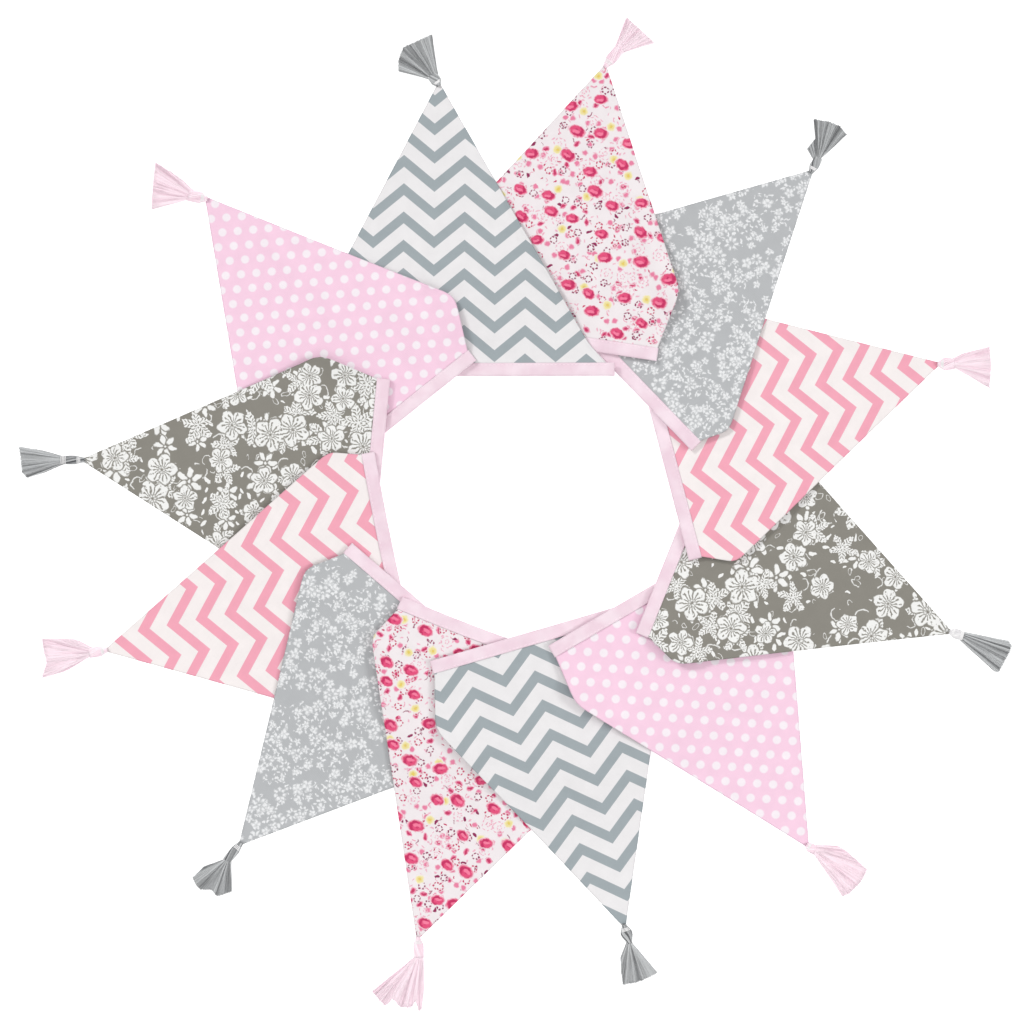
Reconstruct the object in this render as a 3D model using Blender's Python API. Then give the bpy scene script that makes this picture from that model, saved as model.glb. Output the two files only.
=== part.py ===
"""Cloth bunting: twelve pennants on one folded binding tape, laid flat as a closed ring.

Sizes are in millimetres and become metres where a mesh is made. The origin is on the surface
that the bunting lies on, under the middle of its outline, with +Z up. The pennants point
outwards. Each one lies over the next one clockwise and under the one before it, all the way
round, so the cloth climbs like the blades of a pinwheel.
"""

import math
from collections import namedtuple

import bmesh
import bpy

METRES = 0.001

# Driving sizes. A layout unit is the unit of the two layout tables.
FLAG_HEIGHT = 220.0
FLAG_HEIGHT_IN_UNITS = 290.0
UNIT = FLAG_HEIGHT / FLAG_HEIGHT_IN_UNITS
CLOTH = 1.0
AIR = 0.3
TAPE_WIDTH = 10.0
TAPE_LEAF = 0.4
TIP_WIDTH = 3.0

# Middle of the outline and middle of the ring's hole, in layout units, x right and y down
OUTLINE_MIDDLE = (516.6, 513.2)
RING_MIDDLE = (530.0, 507.0)

# The pinwheel: pennants a twelfth of a turn apart, each a step above the next at the ring
TURN = 30.0
FIRST_ANGLE = 107.0
STEP = 4.2
STEP_FULL_WITHIN, STEP_GONE_BEYOND = 178.0, 303.0
REACH_INNER, REACH_OUTER = 49.0, 17.0
REACH_FULL_WITHIN, REACH_LEAST_BEYOND = 175.0, 255.0
SOFTNESS = 0.15
BOUND_REST = 1.3
FLAT_REST = CLOTH / 2
REST_FULL_WITHIN, REST_FLAT_BEYOND = 190.0, 270.0

# Tape: how deep the pennant's edge goes in, and how the fold changes to a plain strip
SLOT_DEPTH = 8.0
EDGE_DEPTH = 7.0
SLOT_HALF = CLOTH / 2 + AIR
FOLDED_HALF = SLOT_HALF + TAPE_LEAF
PLAIN_HALF = 0.5
GROOVE_DEPTH, GROOVE_HALF = 0.5, 0.2
TAPE_END = 3.0
TAIL_LENGTH = 34.0

# Mesh fineness
COLUMNS = 6
ROWS_TO_SHOULDER = 5
ROWS_TO_TAPE = 2
RUN_STATIONS = 7
LINK_STATIONS = 6
BEND_STATIONS = 3

# Waves in a pennant: height, and length along it
WAVE_HEIGHT, WAVE_LENGTH = 0.5, 150.0

# Tassel: a bound head with flat locks fanning from it, all resting level
LOCKS = 8
LOCK_GAP = 0.12
HEAD_ARCH = 0.55
LOCK_END_HEIGHT, LOCK_MIDDLE_HEIGHT = 1.3, 2.2
LOCK_TOP_SHARE = 0.6
LOCK_RAGGED = 1.6

Section = namedtuple("Section", "along half_width height")
HEAD = (
    Section(0.0, TIP_WIDTH / 2, 1.6),
    Section(2.4, 3.4, 3.5),
    Section(5.6, 3.5, 3.6),
    Section(8.2, 2.6, 2.8),
    Section(10.0, 3.2, 2.7),
)

# One row for each pennant, clockwise. toward is the direction from tip to tape in degrees,
# clockwise from layout x. shoulder_side and shoulder_up say where the side leaves its straight
# line for the tape, from the tip. The tape runs from start to end, and bow is how far its
# middle lies outside that line. corner_gap is from the tape's end to the cloth's corner, in mm.
Pennant = namedtuple(
    "Pennant",
    "print tip_x tip_y toward shoulder_side shoulder_up"
    " start_x start_y end_x end_y bow corner_gap",
)
PENNANTS = (
    Pennant("chevron_grey", 439, 85, 89.1, 144, 260, 333, 370, 612, 370, 0, 11),
    Pennant("ditsy_pink", 605, 67, 102.4, 121, 204, 434, 321, 655, 355, 0, 5),
    Pennant("sprig_grey", 811, 172, 136.1, 129, 239, 534, 278, 694, 445, 0, 5),
    Pennant("chevron_pink", 938, 364, 165.05, 139, 247, 632, 318, 694, 557, 0, 5),
    Pennant("floral_taupe", 950, 632, 201.0, 128, 245, 725, 427, 642, 633, 0, 5),
    Pennant("dots_pink", 807, 845, 238.65, 124, 242, 753, 534, 553, 650, 0, 5),
    Pennant("chevron_grey", 624, 925, 252.4, 120, 245, 632, 609, 434, 666, 0, 5),
    Pennant("ditsy_pink", 418, 937, 288.7, 140, 270, 632, 685, 402, 603, 4, 5),
    Pennant("sprig_grey", 241, 843, 311.45, 133, 248, 521, 697, 350, 549, 0, 5),
    Pennant("chevron_pink", 107, 650, 347.05, 143, 261, 425, 711, 369, 455, 3, 5),
    Pennant("floral_taupe", 84, 460, 4.6, 123, 228, 364, 586, 384, 381, 0, 5),
    Pennant("dots_pink", 207, 199, 51.2, 132, 232, 302, 491, 471, 357, 0, 5),
)

# One row for each tassel, in the pennants' order: direction, length and width of its end
Tassel = namedtuple("Tassel", "colour toward length end_width")
TASSELS = (
    Tassel("grey", 229, 47, 46),
    Tassel("pink", -44, 50, 38),
    Tassel("grey", -69, 48, 37),
    Tassel("pink", 4, 50, 41),
    Tassel("grey", 28, 61, 34),
    Tassel("pink", 38, 60, 37),
    Tassel("grey", 76, 55, 37),
    Tassel("pink", 109, 67, 50),
    Tassel("grey", 119, 52, 41),
    Tassel("pink", 179, 64, 41),
    Tassel("grey", 178, 62, 32),
    Tassel("pink", 190, 57, 48),
)

Finish = namedtuple("Finish", "colour roughness")
FINISHES = {
    "chevron_grey": Finish((0.62, 0.66, 0.68), 0.9),
    "ditsy_pink": Finish((0.88, 0.62, 0.70), 0.9),
    "sprig_grey": Finish((0.56, 0.57, 0.58), 0.9),
    "chevron_pink": Finish((0.95, 0.62, 0.72), 0.9),
    "floral_taupe": Finish((0.30, 0.28, 0.26), 0.9),
    "dots_pink": Finish((0.93, 0.55, 0.72), 0.9),
    "tape_pink": Finish((0.95, 0.72, 0.80), 0.85),
    "tassel_grey": Finish((0.36, 0.36, 0.38), 0.95),
    "tassel_pink": Finish((0.95, 0.72, 0.80), 0.95),
}


def placed(x, y):
    """A layout point in the part's frame, in mm."""
    return ((x - OUTLINE_MIDDLE[0]) * UNIT, (OUTLINE_MIDDLE[1] - y) * UNIT)


def heading(degrees):
    """The unit vector of a layout direction, whose angles run clockwise."""
    return (math.cos(math.radians(degrees)), -math.sin(math.radians(degrees)))


def moved(point, direction, distance):
    return (point[0] + direction[0] * distance, point[1] + direction[1] * distance)


def between(first, second, share):
    return tuple(a + (b - a) * share for a, b in zip(first, second))


def unit_vector(first, second):
    length = math.dist(first, second)
    return ((second[0] - first[0]) / length, (second[1] - first[1]) / length)


def right_of(direction):
    return (direction[1], -direction[0])


def ease(value, low, high):
    """0 up to low, 1 from high on, and smooth between them."""
    share = min(max((value - low) / (high - low), 0.0), 1.0)
    return share * share * (3 - 2 * share)


RING = placed(*RING_MIDDLE)


def cloth_height(level, point):
    """The height of the cloth's middle on a level of the pinwheel. A pennant's own level is its
    number, and the tape's links lie half a level below the pennant that they come from."""
    out = math.dist(point, RING)
    angle = math.degrees(math.atan2(point[1] - RING[1], point[0] - RING[0]))
    past = (FIRST_ANGLE - level * TURN - angle + 180) % 360 - 180
    reach = REACH_INNER + (REACH_OUTER - REACH_INNER) * ease(
        out, REACH_FULL_WITHIN, REACH_LEAST_BEYOND
    )
    climb = (past + reach) / TURN
    climb = (climb + math.hypot(climb, SOFTNESS)) / 2
    step = STEP * (1 - ease(out, STEP_FULL_WITHIN, STEP_GONE_BEYOND))
    rest = BOUND_REST + (FLAT_REST - BOUND_REST) * ease(
        out, REST_FULL_WITHIN, REST_FLAT_BEYOND
    )
    return rest + step * climb


def finish_of(name):
    """The material of this name, made once."""
    material = bpy.data.materials.get(name)
    if material is None:
        finish = FINISHES[name]
        material = bpy.data.materials.new(name)
        material.use_nodes = True
        shader = material.node_tree.nodes["Principled BSDF"]
        shader.inputs["Base Color"].default_value = (*finish.colour, 1.0)
        shader.inputs["Roughness"].default_value = finish.roughness
        shader.inputs["Metallic"].default_value = 0.0
    return material


def add_piece(name, finish, points, faces):
    """One closed piece from points in mm."""
    mesh = bpy.data.meshes.new(name)
    mesh.from_pydata([[value * METRES for value in point] for point in points], [], faces)
    sides = bmesh.new()
    sides.from_mesh(mesh)
    bmesh.ops.recalc_face_normals(sides, faces=sides.faces)
    sides.to_mesh(mesh)
    sides.free()
    mesh.materials.append(finish_of(finish))
    piece = bpy.data.objects.new(name, mesh)
    bpy.context.scene.collection.objects.link(piece)
    return piece


class TapeRun:
    """The stretch of tape along one pennant, from its start under the pennant before it to its
    end, slightly bowed outwards where the tape is."""

    def __init__(self, pennant):
        self.start = placed(pennant.start_x, pennant.start_y)
        self.end = placed(pennant.end_x, pennant.end_y)
        self.bow = pennant.bow * UNIT
        self.chord = unit_vector(self.start, self.end)
        self.length = math.dist(self.start, self.end)

    def at(self, distance):
        share = distance / self.length
        bowed = -4 * self.bow * share * (1 - share)
        return moved(between(self.start, self.end, share), right_of(self.chord), bowed)

    def direction(self, distance):
        share = distance / self.length
        slope = -4 * self.bow * (1 - 2 * share) / self.length
        across = right_of(self.chord)
        return unit_vector(
            (0.0, 0.0),
            (self.chord[0] + across[0] * slope, self.chord[1] + across[1] * slope),
        )

    def beside(self, distance, offset):
        """The point this far along, and offset towards the hole."""
        return moved(self.at(distance), right_of(self.direction(distance)), offset)


def pennant_rows(pennant, run):
    """Rows of points across a pennant, from its tip to the edge inside the tape. Each row runs
    from the side under the pennant before it to the side over the next one."""
    tip = placed(pennant.tip_x, pennant.tip_y)
    inward = heading(pennant.toward)
    across = (-inward[1], inward[0])

    def spot(side, up):
        return moved(moved(tip, inward, up), across, side)

    side = pennant.shoulder_side * UNIT
    up = pennant.shoulder_up * UNIT
    rows = []
    for step in range(ROWS_TO_SHOULDER + 1):
        share = step / ROWS_TO_SHOULDER
        half = TIP_WIDTH / 2 + (side - TIP_WIDTH / 2) * share
        rows.append(
            [spot(half * (2 * n / COLUMNS - 1), up * share) for n in range(COLUMNS + 1)]
        )
    first = TAPE_END + 2
    last = run.length - pennant.corner_gap
    along = [first + (last - first) * n / COLUMNS for n in range(COLUMNS + 1)]
    mouth = [run.beside(distance, -TAPE_WIDTH / 2) for distance in along]
    edge = [run.beside(distance, EDGE_DEPTH - TAPE_WIDTH / 2) for distance in along]
    shoulder = rows[-1]
    for step in range(1, ROWS_TO_TAPE + 1):
        share = step / ROWS_TO_TAPE
        rows.append([between(a, b, share) for a, b in zip(shoulder, mouth)])
    rows.append(edge)
    return rows


def wave(number, point):
    """Soft unevenness of one pennant where it is raised, nothing near the tape or the tip."""
    out = math.dist(point, RING)
    where = ease(out, STEP_FULL_WITHIN, REST_FULL_WITHIN + 10) - ease(out, 220.0, 290.0)
    turn = 2 * math.pi * (point[0] * math.cos(number) + point[1] * math.sin(number))
    return WAVE_HEIGHT * where * (1 + math.sin(turn / WAVE_LENGTH + number)) / 2


def make_pennant(number, pennant, run):
    rows = pennant_rows(pennant, run)
    count = len(rows)
    wide = COLUMNS + 1
    points = []
    for offset in (CLOTH / 2, -CLOTH / 2):
        for row in rows:
            for point in row:
                height = cloth_height(number, point) + wave(number, point)
                points.append((*point, height + offset))
    under = count * wide
    faces = []
    for r in range(count - 1):
        for c in range(COLUMNS):
            a, b = r * wide + c, r * wide + c + 1
            faces.append((a, b, b + wide, a + wide))
            faces.append((under + a, under + a + wide, under + b + wide, under + b))
    rim = [c for c in range(wide)]
    rim += [r * wide + COLUMNS for r in range(1, count)]
    rim += [(count - 1) * wide + c for c in range(COLUMNS - 1, -1, -1)]
    rim += [r * wide for r in range(count - 2, 0, -1)]
    for a, b in zip(rim, rim[1:] + rim[:1]):
        faces.append((a, under + a, under + b, b))
    return add_piece(f"flag_{number + 1:02d}_{pennant.print}", pennant.print, points, faces)


def folded_section():
    """The tape folded over an edge: (across, above) points, across growing towards the fold."""
    lip, fold = -TAPE_WIDTH / 2, TAPE_WIDTH / 2
    return (
        (lip, -FOLDED_HALF),
        (fold, -FOLDED_HALF),
        (fold, FOLDED_HALF),
        (lip, FOLDED_HALF),
        (lip, SLOT_HALF),
        (lip + SLOT_DEPTH, SLOT_HALF),
        (lip + SLOT_DEPTH, -SLOT_HALF),
        (lip, -SLOT_HALF),
    )


def plain_section():
    """The tape closed on itself, with only a shallow groove where its lips meet."""
    lip, fold = -TAPE_WIDTH / 2, TAPE_WIDTH / 2
    return (
        (lip, -PLAIN_HALF),
        (fold, -PLAIN_HALF),
        (fold, PLAIN_HALF),
        (lip, PLAIN_HALF),
        (lip, GROOVE_HALF),
        (lip + GROOVE_DEPTH, GROOVE_HALF),
        (lip + GROOVE_DEPTH, -GROOVE_HALF),
        (lip, -GROOVE_HALF),
    )


def flat_ring(level, middle, across, section, face_up):
    """The section's points on a level, above the plan point middle."""
    ring = []
    for side, above in section:
        point = moved(middle, across, side)
        ring.append((*point, cloth_height(level, point) + above * face_up))
    return ring


def bend_ring(level, middle, direction, back, turned):
    """The plain section part way round a hairpin that drops half a level. The hairpin stands out
    along direction, and its turned angle runs from 0 on top to 180 below. back is 1 where
    the tape's face ends upside down and -1 where it comes upright again."""
    angle = math.radians(turned)
    across = right_of(direction)
    if back < 0:
        across = (-across[0], -across[1])
    radius = STEP / 4
    ring = []
    for side, above in plain_section():
        point = moved(middle, across, side)
        high = cloth_height(level, point)
        low = cloth_height(level + 0.5, point)
        height = high + (low - high) * (1 - math.cos(angle)) / 2
        stand = (radius + above * back) * math.sin(angle)
        height += above * back * math.cos(angle)
        ring.append((*moved(point, direction, stand), height))
    return ring


def run_rings(number, run):
    """Rings along a pennant: plain at both ends and folded over the cloth between them."""
    rings = []
    inner = run.length - 2 * TAPE_END
    stations = [0.0, TAPE_END]
    stations += [TAPE_END + inner * n / (RUN_STATIONS + 1) for n in range(1, RUN_STATIONS + 1)]
    stations += [run.length - TAPE_END, run.length]
    for distance in stations:
        plain = distance in (0.0, run.length)
        section = plain_section() if plain else folded_section()
        across = right_of(run.direction(distance))
        rings.append(flat_ring(number, run.at(distance), across, section, 1))
    return rings


def bend_rings(level, middle, direction, back):
    turns = [180 * n / (BEND_STATIONS + 1) for n in range(1, BEND_STATIONS + 1)]
    return [bend_ring(level, middle, direction, back, turned) for turned in turns]


def link_rings(number, run, following):
    """Rings of the tape that runs back, face down, from a run's end to the next run's start."""
    level = number + 0.5
    leaving = run.direction(run.length)
    arriving = following.direction(0.0)
    length = math.dist(run.end, following.start)
    rings = []
    for n in range(LINK_STATIONS + 2):
        s = n / (LINK_STATIONS + 1)
        weights = (
            2 * s**3 - 3 * s**2 + 1,
            -2 * s**3 + 3 * s**2,
            -(s**3 - 2 * s**2 + s) * length,
            -(s**3 - s**2) * length,
        )
        slopes = (
            6 * s**2 - 6 * s,
            -6 * s**2 + 6 * s,
            -(3 * s**2 - 4 * s + 1) * length,
            -(3 * s**2 - 2 * s) * length,
        )
        parts = (run.end, following.start, leaving, arriving)
        middle = tuple(sum(w * p[k] for w, p in zip(weights, parts)) for k in (0, 1))
        travel = tuple(sum(w * p[k] for w, p in zip(slopes, parts)) for k in (0, 1))
        travel = unit_vector((0.0, 0.0), travel)
        across = (-travel[1], travel[0])
        rings.append(flat_ring(level, middle, across, plain_section(), -1))
    return rings


def tail_rings(number, run):
    """The tape's last end, folded under the last pennant."""
    direction = run.direction(run.length)
    rings = []
    for distance in (0.0, TAIL_LENGTH / 2, TAIL_LENGTH):
        middle = moved(run.end, direction, -distance)
        rings.append(
            flat_ring(number + 0.5, middle, right_of(direction), plain_section(), -1)
        )
    return rings


def make_tape(runs):
    """One strip: along each pennant, round a hairpin, back below it to the next pennant's start,
    round another hairpin, and on."""
    rings = []
    for number, run in enumerate(runs):
        rings += run_rings(number, run)
        rings += bend_rings(number, run.end, run.direction(run.length), 1)
        if number + 1 == len(runs):
            rings += tail_rings(number, run)
            continue
        following = runs[number + 1]
        rings += link_rings(number, run, following)
        start = following.direction(0.0)
        rings += bend_rings(
            number + 0.5, following.start, (-start[0], -start[1]), -1
        )
    size = len(rings[0])
    points = [point for ring in rings for point in ring]
    faces = [tuple(range(size)), tuple(len(points) - 1 - n for n in range(size))]
    for r in range(len(rings) - 1):
        for n in range(size):
            a, b = r * size + n, r * size + (n + 1) % size
            faces.append((a, b, b + size, a + size))
    return add_piece("binding_tape", "tape_pink", points, faces)


def lock_edges():
    """The places of the locks' two sides across the head, from -1 to 1."""
    edges = []
    for lock in range(LOCKS):
        edges += [
            2 * (lock + LOCK_GAP) / LOCKS - 1,
            2 * (lock + 1 - LOCK_GAP) / LOCKS - 1,
        ]
    return edges


def tassel_shape(length, end_width):
    """Points and faces of a tassel that points along +x from 0, resting on z = 0."""
    edges = lock_edges()
    wide = len(edges)
    points, faces = [], []
    for section in HEAD:
        for edge in edges:
            arch = section.height * (1 - HEAD_ARCH * edge * edge)
            points.append((section.along, section.half_width * edge, arch))
    for section in HEAD[:-1]:
        points.append((section.along, section.half_width * edges[0], 0.0))
        points.append((section.along, section.half_width * edges[-1], 0.0))
    corners = len(HEAD) * wide
    root = HEAD[-1]
    sole = len(points)
    points += [(root.along, root.half_width * edge, 0.0) for edge in edges]
    left = [corners + 2 * n for n in range(len(HEAD) - 1)] + [sole]
    right = [corners + 2 * n + 1 for n in range(len(HEAD) - 1)] + [sole + wide - 1]
    for s in range(len(HEAD) - 1):
        for n in range(wide - 1):
            a = s * wide + n
            faces.append((a, a + 1, a + 1 + wide, a + wide))
        faces.append((left[s], s * wide, (s + 1) * wide, left[s + 1]))
        last = s * wide + wide - 1
        faces.append((last, right[s], right[s + 1], last + wide))
    faces.append((left[0], *range(wide), right[0]))
    faces.append((*left, *range(sole + 1, sole + wide - 1), *right[::-1]))
    roots = (len(HEAD) - 1) * wide
    for n in range(1, wide - 1, 2):
        faces.append((roots + n, roots + n + 1, sole + n + 1, sole + n))
    half_lock = end_width / LOCKS / 2 * (1 - 2 * LOCK_GAP)
    for lock in range(LOCKS):
        middle = (2 * lock + 1) / LOCKS - 1
        reach = length - LOCK_RAGGED * (1 + math.sin(lock * 2.4)) / 2
        halfway = (root.along + reach) / 2
        fanned = (root.half_width + end_width / 2 * 0.9) / 2
        ring = [roots + 2 * lock, roots + 2 * lock + 1, sole + 2 * lock + 1, sole + 2 * lock]
        for along, spread, half, height in (
            (halfway, fanned, fanned / LOCKS * (1 - 2 * LOCK_GAP), LOCK_MIDDLE_HEIGHT),
            (reach, end_width / 2, half_lock, LOCK_END_HEIGHT),
        ):
            side = middle * spread
            start = len(points)
            points += [
                (along, side - half * LOCK_TOP_SHARE, height),
                (along, side + half * LOCK_TOP_SHARE, height),
                (along, side + half, 0.0),
                (along, side - half, 0.0),
            ]
            following = [start, start + 1, start + 2, start + 3]
            for n in range(4):
                m = (n + 1) % 4
                faces.append((ring[n], ring[m], following[m], following[n]))
            ring = following
        faces.append(tuple(ring))
    return points, faces


def make_tassel(number, tassel, pennant):
    """A tassel just past its pennant's tip, however far it is turned from the pennant's line."""
    direction = heading(tassel.toward)
    outward = heading(pennant.toward + 180)
    facing = direction[0] * outward[0] + direction[1] * outward[1]
    turned = abs(direction[0] * outward[1] - direction[1] * outward[0])
    clear = (AIR + TIP_WIDTH / 2 * turned) / facing
    start = moved(placed(pennant.tip_x, pennant.tip_y), direction, clear)
    across = (-direction[1], direction[0])
    shape, faces = tassel_shape(tassel.length * UNIT, tassel.end_width * UNIT)
    points = []
    for along, side, height in shape:
        points.append((*moved(moved(start, direction, along), across, side), height))
    name = f"tassel_{number + 1:02d}_{tassel.colour}"
    return add_piece(name, f"tassel_{tassel.colour}", points, faces)


def main():
    for old in list(bpy.data.objects):
        bpy.data.objects.remove(old, do_unlink=True)
    runs = [TapeRun(pennant) for pennant in PENNANTS]
    for number, (pennant, run) in enumerate(zip(PENNANTS, runs)):
        make_pennant(number, pennant, run)
        make_tassel(number, TASSELS[number], pennant)
    make_tape(runs)


main()
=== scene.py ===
"""Looks of the cloth bunting: printed pennants, their binding tape and tassels, on a pale floor.

Sizes are in millimetres, as in a sewing pattern, and become metres where a mesh is made. The
layout tables repeat the frame's own: a layout unit is a two hundred and ninetieth of a
pennant's height.
"""

import math
import random
from collections import namedtuple

import bmesh
import bpy
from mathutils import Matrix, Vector, noise


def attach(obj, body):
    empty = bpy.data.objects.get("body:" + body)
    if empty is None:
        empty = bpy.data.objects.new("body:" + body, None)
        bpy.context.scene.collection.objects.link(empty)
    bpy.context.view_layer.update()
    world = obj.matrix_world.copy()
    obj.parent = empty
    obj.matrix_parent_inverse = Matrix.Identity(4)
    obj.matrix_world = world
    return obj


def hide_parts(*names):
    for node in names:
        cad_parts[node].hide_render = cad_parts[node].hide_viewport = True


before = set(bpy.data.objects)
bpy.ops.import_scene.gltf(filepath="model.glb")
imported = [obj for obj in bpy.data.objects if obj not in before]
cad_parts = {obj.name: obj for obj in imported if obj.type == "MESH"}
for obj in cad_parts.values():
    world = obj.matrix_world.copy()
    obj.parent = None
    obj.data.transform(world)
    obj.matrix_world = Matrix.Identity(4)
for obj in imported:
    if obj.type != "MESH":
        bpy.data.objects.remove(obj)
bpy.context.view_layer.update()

METRES = 0.001
FLAG_HEIGHT = 220.0
UNIT = FLAG_HEIGHT / 290.0
OUTLINE_MIDDLE = (516.6, 513.2)
RING_MIDDLE = (530.0, 507.0)
PICTURE_SIDE = 1024

# The pinwheel that the layers follow, as in the frame
TURN = 30.0
FIRST_ANGLE = 107.0
STEP = 4.2
STEP_FULL_WITHIN, STEP_GONE_BEYOND = 178.0, 303.0
REACH_INNER, REACH_OUTER = 49.0, 17.0
REACH_FULL_WITHIN, REACH_LEAST_BEYOND = 175.0, 255.0
SOFTNESS = 0.15
BOUND_REST, FLAT_REST = 1.3, 0.5
REST_FULL_WITHIN, REST_FLAT_BEYOND = 190.0, 270.0
WAVE_HEIGHT, WAVE_LENGTH = 0.5, 150.0

# Tape
TAPE_WIDTH = 10.0
EDGE_DEPTH = 7.0
TAPE_END = 3.0
TAPE_CLOSED = 1.5
TAIL_LENGTH = 34.0
TAPE_STEP = 3.0
STITCH_INSET = 1.5
STITCH_LENGTH, STITCH_PITCH, STITCH_THICKNESS = 2.3, 3.1, 0.36
STITCH_LIFT = 0.98
BEND_STEPS = 7

# Cloth, its turned edge, and how far from its tip and its tape it lies flat
CLOTH_HALF = 0.27
SEAM_HALF, SEAM_INSET, SEAM_WIDTH = 0.46, 1.1, 0.9
TIP_WIDTH = 3.0
ROWS_TO_SHOULDER, ROWS_TO_MOUTH, PLACES_ACROSS = 44, 8, 22
MOUTH_FLUSH = 1.8
FLOOR_GAP = 0.03
FLAT_NEAR_TIP, LOOSE_PAST_TIP = 12.0, 60.0
FLAT_NEAR_TAPE, LOOSE_PAST_TAPE = 4.0, 18.0

# Tassels: loose strands, the fan under them, the twisted head and the thread round it
STRAND_COUNT, STRAND_THICKNESS = 280, 0.3
STRAND_BEND, STRAND_BEND_LENGTH = 0.8, 14.0
RIDGE_HEIGHT = 0.45
FAN_COLUMNS, FAN_ROWS = 72, 10
FAN_HEIGHT_NECK, FAN_HEIGHT_ENDS, FAN_SOLE = 2.3, 1.15, 0.02
CORD_COUNT, CORD_STEPS, CORD_RADIUS, CORD_TWIST = 15, 10, 0.74, 1.5
HEAD_MIDDLE, HEAD_RISE, HEAD_DROP, CORD_LOWEST = 1.75, 0.95, 0.5, 0.78
HEAD_TIP_HALF, HEAD_WIDEST_AT = 1.1, 0.45
HEAD_OVER_TIP, HEAD_INTO_FAN = 0.5, 2.2
THREAD_RADIUS, THREAD_STEPS, THREAD_OFF_HEAD = 0.33, 20, 0.45
THREAD_MIDDLE, THREAD_RISE = 1.95, 1.5
THREAD_TURNS, NECK_TURNS = (0.16, 0.22, 0.28), (0.8, 0.86, 0.92, 0.98)

Pennant = namedtuple(
    "Pennant",
    "print tip_x tip_y toward shoulder_side shoulder_up"
    " start_x start_y end_x end_y bow corner_gap print_u print_v print_turn print_size",
)
PENNANTS = [Pennant(*row) for row in (
    ("chevron_grey", 439, 85, 89.1, 144, 260, 333, 370, 612, 370, 0, 11, 56.9, 10.3, -1.2, 1.0),
    ("ditsy_pink", 605, 67, 102.4, 121, 204, 434, 321, 655, 355, 0, 5, 0, 0, 0, 1),
    ("sprig_grey", 811, 172, 136.1, 129, 239, 534, 278, 694, 445, 0, 5, 0, 0, 0, 1),
    ("chevron_pink", 938, 364, 165.05, 139, 247, 632, 318, 694, 557, 0, 5, 55.9, 1.3, -3.2, 0.99),
    ("floral_taupe", 950, 632, 201.0, 128, 245, 725, 427, 642, 633, 0, 5, 0, 0, 0, 1),
    ("dots_pink", 807, 845, 238.65, 124, 242, 753, 534, 553, 650, 0, 5, -1.7, 33.2, -0.6, 1),
    ("chevron_grey", 624, 925, 252.4, 120, 245, 632, 609, 434, 666, 0, 5, 22.6, 18.9, -3.1, 1.05),
    ("ditsy_pink", 418, 937, 288.7, 140, 270, 632, 685, 402, 603, 4, 5, 410, 130, 0, 1),
    ("sprig_grey", 241, 843, 311.45, 133, 248, 521, 697, 350, 549, 0, 5, 330, 270, 0, 1),
    ("chevron_pink", 107, 650, 347.05, 143, 261, 425, 711, 369, 455, 3, 5, 44.5, 0.9, -1.9, 1.04),
    ("floral_taupe", 84, 460, 4.6, 123, 228, 364, 586, 384, 381, 0, 5, 150, 500, 0, 1),
    ("dots_pink", 207, 199, 51.2, 132, 232, 302, 491, 471, 357, 0, 5, 3, 44.4, 1.2, 0.97),
)]

# One row for each tassel, seen from above: its neck and the neck's width, the width of its head,
# and the outline of its fan from one side of the neck to the other
Tassel = namedtuple("Tassel", "colour neck_x neck_y neck head wrap outline")
TASSELS = [Tassel(*row) for row in (
    ("grey", 433, 77, 11, 9, "own", ((398, 71), (398, 60), (403, 47), (432, 34), (434.5, 58))),
    ("pink", 619, 50, 10, 9.5, "own", ((624.5, 21.5), (627, 17), (641, 30), (655, 43))),
    ("grey", 817.5, 160, 7, 7.5, "own", (
        (807, 149), (817, 136), (813.5, 118.5), (830, 121.5), (840, 125.5), (847, 134),
    )),
    ("pink", 952, 364, 10, 11, "own", (
        (962, 353.5), (976, 350), (990, 346.5), (991.5, 366), (990, 388.5),
    )),
    ("grey", 960, 635, 8, 8.5, "white", (
        (1009, 641), (1012, 646), (1010, 652), (1003, 665), (998, 673), (994, 671),
    )),
    ("pink", 813, 849, 8, 8, "own", (
        (838, 845.5), (846, 850), (868, 870), (862, 882), (851, 893.5), (843, 897), (836.5, 881),
    )),
    ("grey", 629, 941, 4, 10, "own", (
        (658, 973), (648, 978), (636, 983), (623, 985), (621, 972), (620.5, 957),
    )),
    ("pink", 419, 955, 9, 8.5, "own", (
        (424, 972), (424.5, 990), (421.5, 1010), (418.5, 1011.5), (415.5, 1001), (411, 1008),
        (400, 1008), (392, 999), (388, 1004), (384, 1006.5), (371, 992),
    )),
    ("grey", 228, 859, 7, 7, "own", (
        (231, 866), (232, 878), (232, 892), (224, 894.5), (217, 896.5), (211, 890), (200, 890),
        (196, 886), (192, 878), (203, 867),
    )),
    ("pink", 92, 652.5, 9, 9, "own", (
        (68, 670), (41, 679), (46, 662), (43, 650), (41, 638.5), (73, 638.5), (81, 641.5),
    )),
    ("grey", 64, 460, 8, 7, "neck", (
        (44, 472.5), (27, 478), (22, 472), (21, 462), (18.5, 446.5), (42, 450.5),
    )),
    ("pink", 191, 196, 12, 10, "own", (
        (151, 210), (152, 190), (155, 162), (170, 171), (182, 179.5),
    )),
)]

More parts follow.
